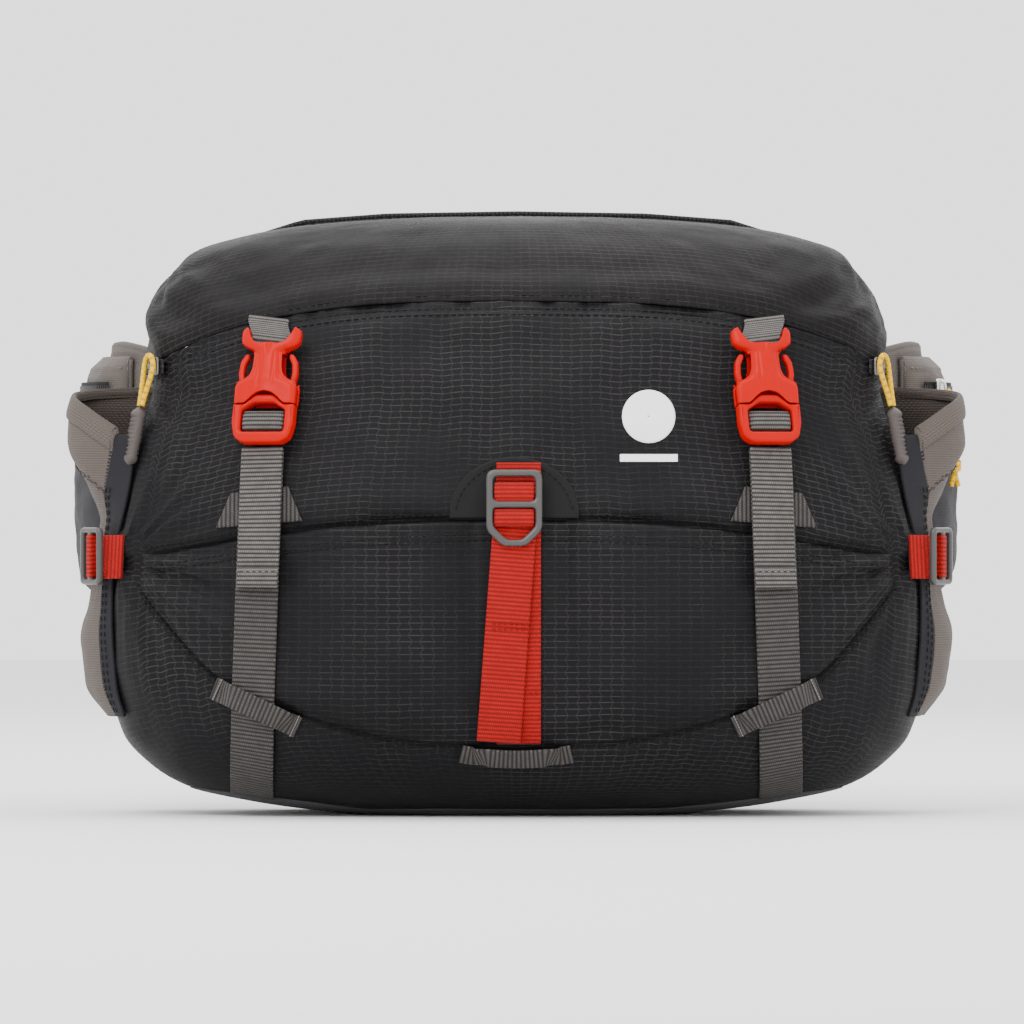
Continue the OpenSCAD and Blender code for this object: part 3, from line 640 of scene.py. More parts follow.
ZIP_METAL = metal("gunmetal", (0.16, 0.155, 0.15), 0.32)
STEEL = metal("bright_steel", (0.62, 0.62, 0.61), 0.22)
GRIP = plastic("grip_rubber_skin", (0.06, 0.048, 0.045), 0.6)
YELLOW = braid("yellow_cord_braid", (0.72, 0.43, 0.004), (0.36, 0.17, 0.002))
BLACK_THREAD = thread("black_thread", (0.007, 0.0065, 0.007))
GREY_THREAD = thread("grey_thread", (0.16, 0.15, 0.145))
RED_THREAD = thread("red_thread", (0.2, 0.004, 0.003))
TAUPE_THREAD = thread("dark_taupe_thread", (0.05, 0.04, 0.035))
STIFFENER = plastic("stiffener_sheet", (0.6, 0.61, 0.63), 0.4)
PRINT = plastic("white_print", (0.86, 0.86, 0.86), 0.5)


# ---------------------------------------------------------------- camera, light and floor

WORLD_LIGHT = 2.1
FLOOR_HALF = 4.0


def look_from_the_front():
    """The camera stands level, straight in front and far away."""
    data = bpy.data.cameras.new("camera")
    data.lens, data.sensor_width = 300, 36
    view_width, middle, plane_y = 461, (-2, 138), -70
    far = view_width / 2 / (data.sensor_width / 2 / data.lens)
    cam = link(bpy.data.objects.new("camera", data))
    cam.location = place((middle[0], plane_y - far, middle[1]))
    cam.rotation_euler = (math.pi / 2, 0, 0)
    data.clip_end = 50
    bpy.context.scene.camera = cam


def light(name, at, size, power, towards=(0, 0, 0.14)):
    data = bpy.data.lights.new(name, "AREA")
    data.shape, data.size, data.size_y, data.energy = "RECTANGLE", size[0], size[1], power
    obj = link(bpy.data.objects.new(name, data))
    obj.location = at
    obj.rotation_euler = (Vector(towards) - Vector(at)).to_track_quat("-Z", "Y").to_euler()


def studio():
    """Soft lamps, an even pale surrounding and a plain floor."""
    light("key", (-0.7, -1.5, 1.5), (1.0, 0.8), 25)
    light("fill", (1.4, -1.6, 0.7), (1.0, 1.2), 4)
    light("top", (0.0, 0.15, 1.6), (1.6, 0.9), 16)
    light("rim", (0.2, 1.5, 1.1), (2.0, 0.8), 8)
    world = bpy.data.worlds.new("studio")
    world.use_nodes = True
    sky = world.node_tree.nodes["Background"]
    sky.inputs["Color"].default_value = (1, 1, 1, 1)
    sky.inputs["Strength"].default_value = WORLD_LIGHT
    bpy.context.scene.world = world
    mesh = bpy.data.meshes.new("floor")
    r = FLOOR_HALF
    mesh.from_pydata([(-r, -r, 0), (r, -r, 0), (r, r, 0), (-r, r, 0)], [], [(0, 1, 2, 3)])
    floor = link(bpy.data.objects.new("floor", mesh))
    mesh.materials.append(Paint("pale_floor", 0.9).shade((0.85, 0.85, 0.85)))


# ---------------------------------------------------------------- cords and their pulls

RIM_AXIS, RIM_Z, SLIDER_R, SLIDER_PARK = (104, 0), 204.2, 67.0, 26
PULL_LEAN = 0.2
PULL_ROUTE = [(-0.3, -18), (-1, -14), (-2.6, -9), (-4.2, -4), (-4.6, 0.6), (-2.4, 4.4), (1.4, 4.8), (4.4, 2),
              (4.8, -3), (3.8, -8.6), (3, -14), (2.7, -18)]
HIP_ROUTE = [(0, 0, 0), (3.4, 0.6, -3), (4.8, 1, -8), (5, 1.2, -14), (4.4, 1.2, -20), (3.6, 1, -26),
             (3, 0.8, -32), (3.2, 1.2, -38)]
WING_C, WING_R = (138, 118), 50
WING_FACE = 5.6     # from the wing's curve out to its cloth's face
hip_puff_at = curve([(96, 0), (108, 10.4), (125, 13), (160, 13), (190, 9.36), (204, 6.5), (211, 0)])
HIP_ZIP_R = WING_R + WING_FACE + float(hip_puff_at(193)) + 1.6 + 0.4
HIP_ZIP_Z = 196
HIP_PARK = {1: -29, -1: 43}


def turned(p, degrees, centre):
    """Points of an upright frame (x, y, z) turned about +Z and put at a centre."""
    a = math.radians(degrees)
    p = np.asarray(p, float)
    return np.stack([centre[0] + p[..., 0] * math.cos(a) - p[..., 1] * math.sin(a),
                     centre[1] + p[..., 0] * math.sin(a) + p[..., 1] * math.cos(a),
                     centre[2] + p[..., 2]], -1)


def on_rim(p):
    """Points of a parked main slider's own frame, put where it stands on the zip."""
    return turned(p, 90 - SLIDER_PARK, (*RIM_AXIS, RIM_Z))


def side_name(side):
    return "right" if side > 0 else "left"


def hanging_cord(line, side, partner):
    """Works out a cord's line as points of the row frame, and keeps nothing of it; partner is not used."""
    path = [tuple(q) for q in place(mirrored(line, side))]


def pull(side):
    """The main slider's pull: a loop of cord whose ends are moulded into a ribbed grip."""
    name = side_name(side)
    pull_r = SLIDER_R + 1.6 + CORD_D / 2 + 0.3
    line = on_rim(rounded_route([(x, -pull_r + PULL_LEAN * min(0, z), z) for x, z in PULL_ROUTE], 5))
    cord = add(name + "_pull_loop", tube_mesh("loop", line, CORD_D / 2, 10, side), name + "_pull", YELLOW,
               name + "_pull_cord")
    hanging_cord(line, side, pull_grip(side, pull_r))


def pull_grip(side, pull_r):
    """A flat moulded grip with a waist of small ribs across its face."""
    name = side_name(side)
    rows, cols = 44, 20
    length, width, thick, top = 28.0, 9.0, 5.6, -18.2
    points, uvs = [], []
    for i in range(rows):
        t = i / (rows - 1)
        z = -length * t
        end = math.sin(math.pi * min(1, max(0.0, min(t, 1 - t) * 7 + 0.03)) / 2)
        taper = 1 - 0.12 * t
        rib = 0.6 * (math.cos(2 * math.pi * t * 15) > 0) * (0.16 < t < 0.84)
        for j in range(cols):
            a = 2 * math.pi * j / cols
            c, s = math.cos(a), math.sin(a)
            x = (width / 2) * taper * end * math.copysign(abs(c) ** 0.55, c)
            y = (thick / 2 - rib) * end * math.copysign(abs(s) ** 0.7, s)
            points.append((x + 1.2, y, z))
            uvs.append((x, z))
    lean = math.atan(PULL_LEAN)
    x, y, z = np.array(points).T
    out = -pull_r + PULL_LEAN * top - 0.4 + y * math.cos(lean) + z * math.sin(lean)
    q = np.stack([x, out, top + z * math.cos(lean) - y * math.sin(lean)], -1)
    mesh = mesh_of("grip", mirrored(on_rim(q), side), capped_faces(rows, cols), uvs)
    fix_normals(mesh)
    return add(name + "_grip", mesh, name + "_pull", GRIP, name + "_pull_grip")


def hip_cord(side):
    """The cord that hangs from a hip pocket's slider and ends in a knot."""
    name, body = side_name(side), side_name(side) + "_hip_pull"
    r = HIP_ZIP_R + 4.9 + CORD_D / 2 + 0.2
    line = rounded_route(turned([(r + o, a, z) for o, a, z in HIP_ROUTE], HIP_PARK[side],
                                (*WING_C, HIP_ZIP_Z - 1)), 5)
    cord = add(name + "_hip_pull_cord", tube_mesh("hip_cord", line, CORD_D / 2, 10, side), body, YELLOW,
               name + "_hip_cord")
    end = line[-1]
    turn = np.linspace(0, 2 * math.pi * 2.2, 40)
    height = 4.2 - 3.2 * turn / turn[-1] + 0.9 * np.sin(turn * 0.5)
    knot = end + np.stack([2.0 * np.cos(turn), 2.0 * np.sin(turn), height], -1)
    knot_piece = add(name + "_hip_knot", tube_mesh("knot", knot, 1.3, 8, side), body, YELLOW)
    hanging_cord(line, side, knot_piece)
    for k, lean in enumerate((-0.25, 0.3)):
        tail = [end + (lean * t * 0.9, lean * t * 0.5, -t) for t in np.linspace(0, 7, 8)]
        add(f"{name}_hip_tail_{k}", tube_mesh("tail", tail, 1.15, 8, side), body, YELLOW)


look_from_the_front()
studio()
for side in (-1, 1):
    pull(side)
    hip_cord(side)


# ---------------------------------------------------------------- bag

def columns_round(n):
    """Angles round the bag whose columns are evenly spaced along its waist, and their places along it."""
    u = np.linspace(-math.pi * 1.5, math.pi * 0.5, 4001)
    p = bag_point(u, np.full_like(u, 120.0))
    run = lengths_along(p[None], 1)[0]
    s = np.linspace(0, run[-1], n, endpoint=False)
    return np.interp(s, run, u), s - run[-1] / 2


def facing_front(n):
    """1 where the cloth looks ahead, falling to 0 at the sides."""
    return np.clip(-n[..., 1] * 1.4, 0, 1)


def bag_body():
    """The bag's cloth, from its floor up to the seam under the lid."""
    u, s = columns_round(330)
    floor_z = 2.4
    t = np.concatenate([np.linspace(0, 0.06, 8, endpoint=False), np.linspace(0.06, 1, 84)])
    z = floor_z + (lid_seam(u)[None, :] - floor_z) * t[:, None]
    p = bag_point(np.broadcast_to(u, z.shape), z)
    n = grid_normals(p, True)
    x = p[..., 0]
    ahead = facing_front(n)
    d = ahead * relief(x, z, 3.1, (mid_seam(x), foot_seam(x), front_seam(x) - 2))
    d = d + (1 - ahead) * 1.2 * swirl(s[None, :] / 40, z / 45, 5.5) * bump((t[:, None] - 0.5) / 0.52)
    covered = ahead * (z < mid_seam(x) + 1) * (z > foot_seam(x) - 1)
    d = np.where(covered > 0, np.minimum(d, 0) - 1.5 * covered, d)
    p = p + n * d[..., None]
    uv = np.stack([np.broadcast_to(s, z.shape), lengths_along(p, 0)], -1)
    uv[..., 1] -= uv[45, :, 1][None]
    cap = p[:1] * (0.5, 0.5, 1), p[:1] * (0.01, 0.01, 1)
    p = np.concatenate([cap[1], cap[0], p])
    uv = np.concatenate([uv[:1] - (0, 90), uv[:1] - (0, 45), uv])
    return grid_piece("bag_body", p, "bag", [BLACK, LINING], "main_shell", thick=1.4, uv=uv,
                      closed=True)


def lid():
    """The lid's cloth, gathered at its seam and wrinkled at its corners."""
    u, s = columns_round(330)
    t = np.concatenate([np.linspace(0, 0.8, 46, endpoint=False), np.linspace(0.8, 1, 14)])
    low = lid_seam(u)[None, :] + 0.4
    z = low + (LID_TOP - low) * t[:, None]
    p = bag_point(np.broadcast_to(u, z.shape), z)
    n = grid_normals(p, True)
    x = p[..., 0]
    ahead = np.clip(0.25 - n[..., 1], 0, 1)
    up = z - low
    gather = swirl(s[None, :] / 9, up / 34, 9.3, 2)
    d = 0.9 * gather * np.exp(-up / 10) * np.minimum(1, up / 2) + 1.3 * bump((up - 7) / 9) * ahead
    slack = swirl(s[None, :] / 60, up / 28, 2.2) * np.minimum(1, up / 10)
    d = d + 1.5 * slack * np.clip((LID_TOP - z) / 25, 0, 1)
    corner = np.exp(-((np.abs(x) - 158) / 34) ** 2)
    along = s[None, :] * 0.55 + up * np.sign(x) * -0.9
    wrinkle = swirl(along / 13, up / 70, 4.4, 2) * np.minimum(1, up / 12)
    d = d + 3.8 * corner * wrinkle * np.clip((LID_TOP - z) / 30, 0, 1)
    p = p + n * d[..., None]
    uv = np.stack([np.broadcast_to(s, z.shape), lengths_along(p, 0) + 3], -1)
    middle = p[-1].mean(0)
    cap = [middle + (p[-1:] - middle) * k + (0, 0, 0.5 * (1 - k)) for k in (0.6, 0.3, 0.02)]
    p = np.concatenate([p, *cap])
    uv = np.concatenate([uv] + [uv[-1:] + (0, k) for k in (6, 12, 18)])
    return grid_piece("lid_cloth", p, "lid", [BLACK_LID, LINING], "lid_shell", thick=1.4,
                      uv=uv, closed=True)


pocket_puff = curve([(0, 0), (0.15, 0.65), (0.5, 1), (1, 0.9)])


def front_pocket():
    """The slot pocket's panel: its lower edge is sewn into the curved seam, and its upper one is a hem."""
    xs = np.linspace(-170, 170, 190)
    t = np.linspace(0, 1, 74)
    low, high = foot_seam(xs), mid_seam(xs)
    z = low + (high - low) * t[:, None]
    x = np.broadcast_to(xs, z.shape)
    puff = 10 * np.maximum(0, 1 - ((np.abs(x) - 62) / 41) ** 2) * pocket_puff(t)[:, None]
    edge = bump(t[:, None] / 0.05)
    slack = swirl(x / 30, z / 90, 6.1) * (puff > 1)
    d = relief(x, z, 8.2, (high + 0 * z, low + 0 * z)) * (1 - edge) + slack
    hem = bump((z - high + 1.5) / 2.2) * 0.9 + 0.6 * bump((z - high + 9.5) / 1.6) * -1
    side_in = np.clip((170 - np.abs(x)) / 8, 0, 1)
    p = on_front(x, z, 1.9 + puff)
    n = grid_normals(p)
    p = p + n * ((d + hem) * side_in)[..., None]
    return grid_piece("front_pocket_cloth", p, "bag", BLACK, "front_pocket", thick=1.0,
                      uv=np.stack([x, z * 1.03], -1))


# ---------------------------------------------------------------- moulded parts

def outline(corners, steps=6):
    """A closed outline through corners (x, y, radius), each rounded by its radius."""
    out = []
    for k, (x, y, r) in enumerate(corners):
        b = np.array((x, y), float)
        a, c = np.array(corners[k - 1][:2], float), np.array(corners[(k + 1) % len(corners)][:2], float)
        la, lc = np.linalg.norm(a - b), np.linalg.norm(c - b)
        u, v = (a - b) / la, (c - b) / lc
        if r <= 0:
            out.append(b)
            continue
        half = math.acos(max(-0.999, min(0.999, float(u @ v)))) / 2
        cut = min(r / math.tan(half), 0.49 * la, 0.49 * lc)
        for t in np.linspace(0, 1, steps):
            out.append((1 - t) ** 2 * (b + u * cut) + 2 * t * (1 - t) * b + t * t * (b + v * cut))
    return out


def both_sides(corners):
    """The right half of an outline, from bottom to top, with its mirror image."""
    return corners + [(-x, y, r) for x, y, r in corners[::-1]]


def box_corners(x0, x1, y0, y1, r):
    return [(x0, y0, r), (x1, y0, r), (x1, y1, r), (x0, y1, r)]


def moulding(name, loops, thick, bevel, to, body, material, stands_for=(), side=1, y=0.0):
    """A moulded plate: outlines in local x and z (the later ones are holes), thick about local y, with its
    edges rounded. to puts local points in the bag's frame."""
    data = bpy.data.curves.new(name, "CURVE")
    data.dimensions, data.fill_mode = "2D", "BOTH"
    data.extrude, data.bevel_depth, data.offset, data.bevel_resolution = thick / 2 - bevel, bevel, -bevel, 2
    for loop in loops:
        points = outline(loop)
        spline = data.splines.new("POLY")
        spline.points.add(len(points) - 1)
        for q, (a, b) in zip(spline.points, points):
            q.co = (a, b, 0, 1)
        spline.use_cyclic_u = True
    temp = link(bpy.data.objects.new(name, data))
    mesh = bpy.data.meshes.new_from_object(temp.evaluated_get(bpy.context.evaluated_depsgraph_get()))
    bpy.data.objects.remove(temp)
    bm = bmesh.new()
    bm.from_mesh(mesh)
    bmesh.ops.remove_doubles(bm, verts=bm.verts, dist=1e-4)
    local = np.array([(v.co.x, y - v.co.z, v.co.y) for v in bm.verts])
    for v, q in zip(bm.verts, place(mirrored(to(local), side))):
        v.co = q
    bmesh.ops.recalc_face_normals(bm, faces=bm.faces)
    bm.to_mesh(mesh)
    bm.free()
    mesh.name = name
    mesh.polygons.foreach_set("use_smooth", [True] * len(mesh.polygons))
    mesh.set_sharp_from_angle(angle=math.radians(38))
    return add(name, mesh, body, material, stands_for)


def lofted(name, sections, to, body, material, slot, stands_for=(), side=1, power=2.5, cols=28, y=0.0):
    """A rounded solid through sections (z, half width, half depth) along local z."""
    rings, uvs = [], []
    for z, a, b in sections:
        turn = np.linspace(0, 2 * math.pi, cols, endpoint=False)
        c, s = np.cos(turn), np.sin(turn)
        x = a * np.sign(c) * np.abs(c) ** (2 / power)
        rings.append(np.stack([x, y + b * np.sign(s) * np.abs(s) ** (2 / power), z + 0 * x], -1))
        uvs.append(np.stack([x, z + 0 * x], -1))
    p = np.array(rings)
    rows = len(p)
    mesh = mesh_of(name, mirrored(to(p.reshape(-1, 3)), side), capped_faces(rows, cols),
                   np.array(uvs).reshape(-1, 2))
    fix_normals(mesh)
    mesh.set_sharp_from_angle(angle=math.radians(50))
    return add(name, mesh, body, material, stands_for)


def local_frame(origin, lean=0.0, turn=0.0, scale=1.0, lay=None):
    """A function from local millimetres to the bag's frame: lean turns about x, then turn about z."""
    a, b = math.radians(lean), math.radians(turn)
    rx = np.array([[1, 0, 0], [0, math.cos(a), -math.sin(a)], [0, math.sin(a), math.cos(a)]])
    rz = np.array([[math.cos(b), -math.sin(b), 0], [math.sin(b), math.cos(b), 0], [0, 0, 1]])
    r = rz @ rx if lay is None else lay
    return lambda p: np.asarray(p, float) * scale @ r.T + np.asarray(origin, float)


shell_half = curve([(18.2, 14.4), (25.6, 14.6), (28, 13.4), (30, 9.8), (32, 7.8), (36, 6.7), (42, 6.5),
                    (43.4, 7.7), (45.2, 11.4), (47.5, 13.7), (51, 14), (53.2, 13.6), (54.4, 12.8)])
shell_foot = curve([(0, 23.7), (0.2, 23.2), (0.42, 21.2), (0.6, 18.8), (0.68, 18.2), (1, 18.2)])
shell_head = curve([(0, 47), (0.3, 46.4), (0.5, 47.0), (0.66, 50), (0.78, 53), (0.88, 54.3), (1, 53.2)])
shell_depth = curve([(18.2, 4.9), (26, 5.2), (31, 5.7), (38, 5.6), (44, 4.9), (48, 4.4), (54.4, 3.4)])
shell_power = curve([(18.2, 6), (26, 5), (30, 2.6), (42, 2.4), (46, 3.0), (54.4, 3.0)])


def buckle_shell(name, to, face, body, material, stands_for=(), side=1):
    """One half of a female buckle's hollow body: face -1 is its front, arched at its foot, and 1 its
    back."""
    s = np.sin(np.linspace(-1, 1, 65) * math.pi / 2)[None, :]
    v = np.linspace(0, 1, 64)[:, None]
    a = np.abs(s)
    low = shell_foot(a) if face < 0 else 18.2 + 0 * a
    z = low + (shell_head(a) - low) * v
    x = s * shell_half(z)
    power = shell_power(z)
    d = shell_depth(z) * np.maximum(0, 1 - a ** power) ** (1 / power)
    if face < 0:
        d = d + 0.9 * bump(x / 8.5) * np.clip((32 - z) / 8, 0, 1)
        d = d - 0.35 * (bump((x - 3.2) / 1.1) + bump((x + 3.2) / 1.1)) * bump((z - 33) / 15)
        d = d - 0.8 * bump(x / 1.5) * bump((z - 47) / 7)
    room_for_arms = 3.7 * np.clip((z - 25) / 2.5, 0, 1) * np.clip((44 - z) / 1.5, 0, 1)
    d = np.maximum(d, room_for_arms)
    p = to(np.stack([x, face * d, z], -1).reshape(-1, 3)).reshape(*z.shape, 3)
    return grid_piece(name, p, body, material, stands_for, side, 1.5, inside_out=face > 0)


def buckle(name, to_female, to_male, bodies, material, nodes, side, wrap):
    """A side release buckle. The male half has a frame for the webbing and two bowed arms, and the female
    half a hollow body with two ears beside the webbing's slot. bodies and nodes name the female half, the
    male half and its two arms; wrap is the material of the webbing round the male half's bar, followed by a
    slot that is not used."""
    female, male, arm_a, arm_b = bodies
    buckle_shell(name + "_shell_front", to_female, -1, female, material, nodes[0], side)
    buckle_shell(name + "_shell_back", to_female, 1, female, material, (), side)
    frame_loop = both_sides([(8.8, 0, 4), (13, 2.2, 6), (14.5, 9, 7), (14.4, 17.9, 0.8), (9.2, 17.9, 1.8),
                             (4.2, 22.3, 4)])
    window = both_sides([(10.2, 5, 1.6), (10.2, 15, 1.5), (4.6, 18.6, 4)])
    moulding(name + "_frame", [frame_loop, window], 7.0, 1.4, to_male, male, material, nodes[1], side,
             -0.9)
    moulding(name + "_bar", [box_corners(-11, 11, 9.2, 11.8, 0.9)], 2.4, 0.7, to_male, male, material,
             side=side)
    bow = [(10.3, 18.6, 0.9), (12.6, 18.6, 0.9), (12.7, 26.5, 4), (13.9, 32.6, 6), (13.4, 38.2, 5),
           (11.2, 41.9, 1.6), (9.3, 41.9, 1.0), (9.5, 39.8, 1.5), (11.0, 36.8, 4), (11.3, 32.8, 5),
           (10.3, 27, 4)]
    for part, k, body, node in (("a", 1, arm_a, nodes[2]), ("b", -1, arm_b, nodes[3])):
        arm = [(k * x, z, r) for x, z, r in bow][::k]
        moulding(f"{name}_arm_{part}", [arm], 3.8, 0.85, to_male, body, material, node, side)
    wrapped = [(5.4, 9.4, 1.4), (6.0, 9.7, 2.7), (8, 9.8, 3.6), (10.4, 9.8, 3.9), (12.8, 9.8, 3.4),
               (14.4, 9.7, 2.4), (15.0, 9.4, 1.4)]
    lofted(name + "_wrap", wrapped, to_male, male, *wrap, side=side, power=5, y=-0.5)


BUCKLE_Z, BUCKLE_OUT, BUCKLE_TILT, BUCKLE_TURN = 168.5, 8, 16.3, 16.5
GLIDE_Z, GLIDE_TILT, GLIDE_OUT = 140, 9.5, 8.6


def buckle_place():
    """From a front buckle's own frame to the bag's."""
    middle = on_front(strap_at(BUCKLE_Z), BUCKLE_Z, BUCKLE_OUT)
    return local_frame(middle, -BUCKLE_TILT, BUCKLE_TURN)


def front_buckle(side):
    """A red side release buckle on the front strap."""
    name = side_name(side)
    bodies = ("bag", name + "_clip", name + "_outer_arm", name + "_inner_arm")
    nodes = [f"{name}_{part}" for part in ("buckle_female", "buckle_male", "outer_prong", "inner_prong")]
    buckle(name + "_buckle", buckle_place(), buckle_place(), bodies, RED_PLASTIC, nodes, side,
           (GREY_WEB, "grey_webbing"))


def front_outward(p):
    """The way out of the bag's front at points, its smooth shape only."""
    p = np.asarray(p, float)
    x, z = p[..., 0], p[..., 2]
    e = 1.5
    gx = (front_y(x + e, z) - front_y(x - e, z)) / (2 * e)
    gz = (front_y(x, z + e) - front_y(x, z - e)) / (2 * e)
    n = np.stack([gx, -np.ones_like(gx), gz], -1)
    return n / np.linalg.norm(n, axis=-1, keepdims=True)


def front_band(name, x, z, out, width, body, material, stands_for=(), side=1, thick=WEBBING_T):
    """Webbing that lies on the bag's front along points x, z."""
    x, z = np.broadcast_arrays(np.asarray(x, float), np.asarray(z, float))
    p = on_front(x, z, np.asarray(out, float) + thick / 2)
    return band(name, p, front_outward(on_front(x, z)), width, thick, body, material, stands_for, side)


def front_straps(side):
    """A sewn lower strap, the loose tail with its folded end, and the webbing above the buckle."""
    name = side_name(side)
    z = np.concatenate([np.linspace(9.5, 15, 6), np.linspace(16.5, 166, 90)])
    out = strap_out(z) + 0.35 * np.sin(z / 17 + side)
    # the lower strap takes the darker copy of the tape, painted shade
    front_band(name + "_lower_strap", strap_at(z), z, out, WEBBING, "bag", GREY_WEB_SHADED,
               name + "_front_strap", side)
    z = np.linspace(167, 104, 60)
    sway = 0.5 * np.sin(z / 11)
    tail_out = 5.4 + np.clip((118 - z) / 14, 0, 1) * 1.2 - 0.2
    front_band(name + "_loose_tail", strap_at(z) + 0.3 * sway, z, tail_out + 0.25 * sway, WEBBING - 0.8,
               name + "_clip", GREY_WEB, name + "_strap_tail", side)
    z = np.linspace(113, 104.3, 10)
    front_band(name + "_tail_fold", strap_at(z), z, 7.5 + np.clip((118 - z) / 14, 0, 1) * 1.0, WEBBING - 1.0,
               name + "_clip", GREY_WEB, (), side, 1.1)
    rows = []
    for h in (111.2, 107.0):
        xs = np.linspace(strap_at(h) - 8.4, strap_at(h) + 8.4, 8)
        rows.append(on_front(xs, np.full(8, h), 9.0))
    stitches(name + "_tail_stitches", rows, (0.2, -1, 0), name + "_clip", GREY_THREAD, 2.6,
             2.0, 0.6, side)
    ends = buckle_place()(np.array([(0, -0.2, 50.0), (0, 0.4, 45.5)]))
    top = front_seam(strap_at(222))
    over = [on_front(strap_at(z), z, out) for z, out in ((top + 1.4, 0.7), (top - 1.4, 2.4))]
    path = rounded_route([*over, *ends], 7)
    turn = math.radians(BUCKLE_TURN)
    band(name + "_upper_webbing", path, (0, -1, 0), WEBBING - 0.8, WEBBING_T, "bag", GREY_WEB,
         name + "_buckle_webbing", side, across=(-math.cos(turn), -math.sin(turn), -0.12))


KEEPER_X, KEEPER_Z, KEEPER_TURN = 117, 50, math.radians(25)


def lower_keeper(side):
    """A short loop of webbing across the front strap, with a bartack at each end."""
    name = side_name(side)
    s = np.linspace(-21, 21, 40)
    x, z = KEEPER_X + s * math.cos(KEEPER_TURN), KEEPER_Z + s * math.sin(KEEPER_TURN)
    hold = bump(np.maximum(0, np.abs(s) - 11) / 6.5)
    # the keeper takes the darker copy of the tape, painted shade
    front_band(name + "_lower_keeper", x, z, 2.2 + 3.9 * hold, 10.6, "bag", GREY_WEB_SHADED,
               "webbing_keepers" if side < 0 else (), side, 1.3)
    ends = [[on_front(KEEPER_X + k * 19.2 * 0.906 + w * 0.42, KEEPER_Z + k * 19.2 * 0.423 - w * 0.906, 4.1)
             for w in np.linspace(-4.6, 4.6, 6)] for k in (-1, 1)]
    stitches(name + "_keeper_bartack", ends, (0, -1, 0), "bag", GREY_THREAD, 1.3, 1.5, 0.7,
             side)


def upper_keeper(side):
    """The wider loop at the middle seam: its ends are slanted."""
    v = np.linspace(0, 1, 14)[:, None]
    s = np.linspace(-1, 1, 34)[None, :]
    x = strap_at(140) + s * (19.5 - 6.5 * v) + 0.6
    z = 132.5 + 15.5 * v + 0 * s - 1.6 * s
    # the keeper takes the darker copy of the tape, painted shade
    grid_piece(side_name(side) + "_upper_keeper", on_front(x, z, 2.7), "bag", GREY_WEB_SHADED,
               side=side, thick=1.1, uv=np.stack([z, x], -1))


def keepers():
    for side in (-1, 1):
        lower_keeper(side)
        upper_keeper(side)
    s = np.linspace(-25, 25, 46)
    hold = bump(np.maximum(0, np.abs(s) - 12) / 8)
    # the keeper takes the darker copy of the tape, painted shade
    front_band("middle_keeper", s, 27 + (s / 24) ** 2 * 2.2, 1.4 + 6.2 * hold, 9.4, "bag", GREY_WEB_SHADED,
               (), 1, 1.3)


def middle_strap():
    """The red strap down the bag's middle, its loose end, and the triglide that the webbing turns round."""
    z = np.linspace(34, 160, 80)
    front_band("red_strap", 1 + 0 * z, z, center_out(z), WEBBING, "bag", RED_WEB,
               "center_strap")
    z = np.linspace(146, 35, 80)
    out = center_out(z) + WEBBING_T + 0.7 + 0.5 * np.sin(z / 13) + 0.6
    front_band("red_tail", -0.6 - (134 - z) * 0.075, z, out, WEBBING - 0.4, "center_glide", RED_WEB,
               "center_tail")
    to = local_frame(on_front(-1, GLIDE_Z, GLIDE_OUT), -GLIDE_TILT)
    for part, z0, z1 in (("upper", 2.6, 11.5), ("lower", -8.6, -0.8)):
        sections = [(z0, 8.6, 0.9), (z0 + 0.7, 8.9, 1.7), ((z0 + z1) / 2, 9, 2.2), (z1 - 0.7, 8.9, 1.7),
                    (z1, 8.6, 0.9)]
        lofted(f"red_loop_{part}", sections, to, "center_glide", RED_WEB, "red_webbing", power=5, y=0.3)
    ring = both_sides([(5, -17.6, 5), (12.6, -10.5, 7), (12.6, 17.2, 4.2)])
    upper = box_corners(-9.5, 9.5, 2.9, 14.2, 2.4)
    lower = both_sides([(3.4, -14.6, 4), (9.5, -8.6, 5), (9.5, -0.2, 1.6)])
    moulding("middle_triglide", [ring, upper, lower], 3.2, 1.3, to, "center_glide", GREY_PLASTIC,
             "center_triglide")
    rows = [on_front(np.linspace(-10.2, 5.4, 7), h, center_out(h) + 4.9) for h in (88.0, 85.6)]
    stitches("red_tail_stitches", rows, (0, -1, 0), "center_glide", RED_THREAD, 2.3, 1.9, 0.6)
    rows = [on_front(np.linspace(-7, 9, 7), 57.0, center_out(57.0) + 1.9)]
    stitches("red_strap_stitches", rows, (0, -1, 0), "bag", RED_THREAD, 2.3, 1.9, 0.6)


def arched_patch():
    """A patch with an arched top, sewn over the middle seam behind the red strap."""
    xs = np.linspace(-30, 28, 60)
    t = np.linspace(0, 1, 22)
    x = np.broadcast_to(xs, (len(t), len(xs)))
    rise = 2 + 25 * np.sqrt(np.maximum(0, 1 - ((x + 1) / 29.2) ** 2))
    z = mid_seam(x) + 1.2 + rise * t[:, None]
    p = on_front(x, z, 1.2 + 0.5 * swirl(x / 14, z / 20, 3.3) * bump((t[:, None] - 0.5) / 0.5))
    grid_piece("arched_patch", p, "bag", BLACK_PLAIN, "tool_patch", thick=0.7,
               uv=np.stack([x, z], -1))
    edge = [on_front(x, mid_seam(x) + 1 + 24.6 * math.sqrt(max(0, 1 - ((x + 1) / 26.6) ** 2)), 1.6)
            for x in np.linspace(-27, 25, 60)]
    stitches("patch_stitches", [edge], (0, -1, 0), "bag", BLACK_THREAD, 3.0, 2.2, 0.55)


# ---------------------------------------------------------------- sides

BOTTLE_Y, BOTTLE_HALF, BOTTLE_FOOT = -0.5, 37, 45
EDGE_Y, KNIT_Y, POCKET_REAR = -37, -31, 36      # where a bottle pocket's edge and knit begin, and its rear
SIDE_GLIDE_Y, SIDE_GLIDE_TURN = -36, 59


def knit_from(z):
    """The y where the pocket's knit meets its slate front edge, a crescent widest above the strap."""
    return KNIT_Y + 6.5 * np.exp(-((z - 138) / 17) ** 2)


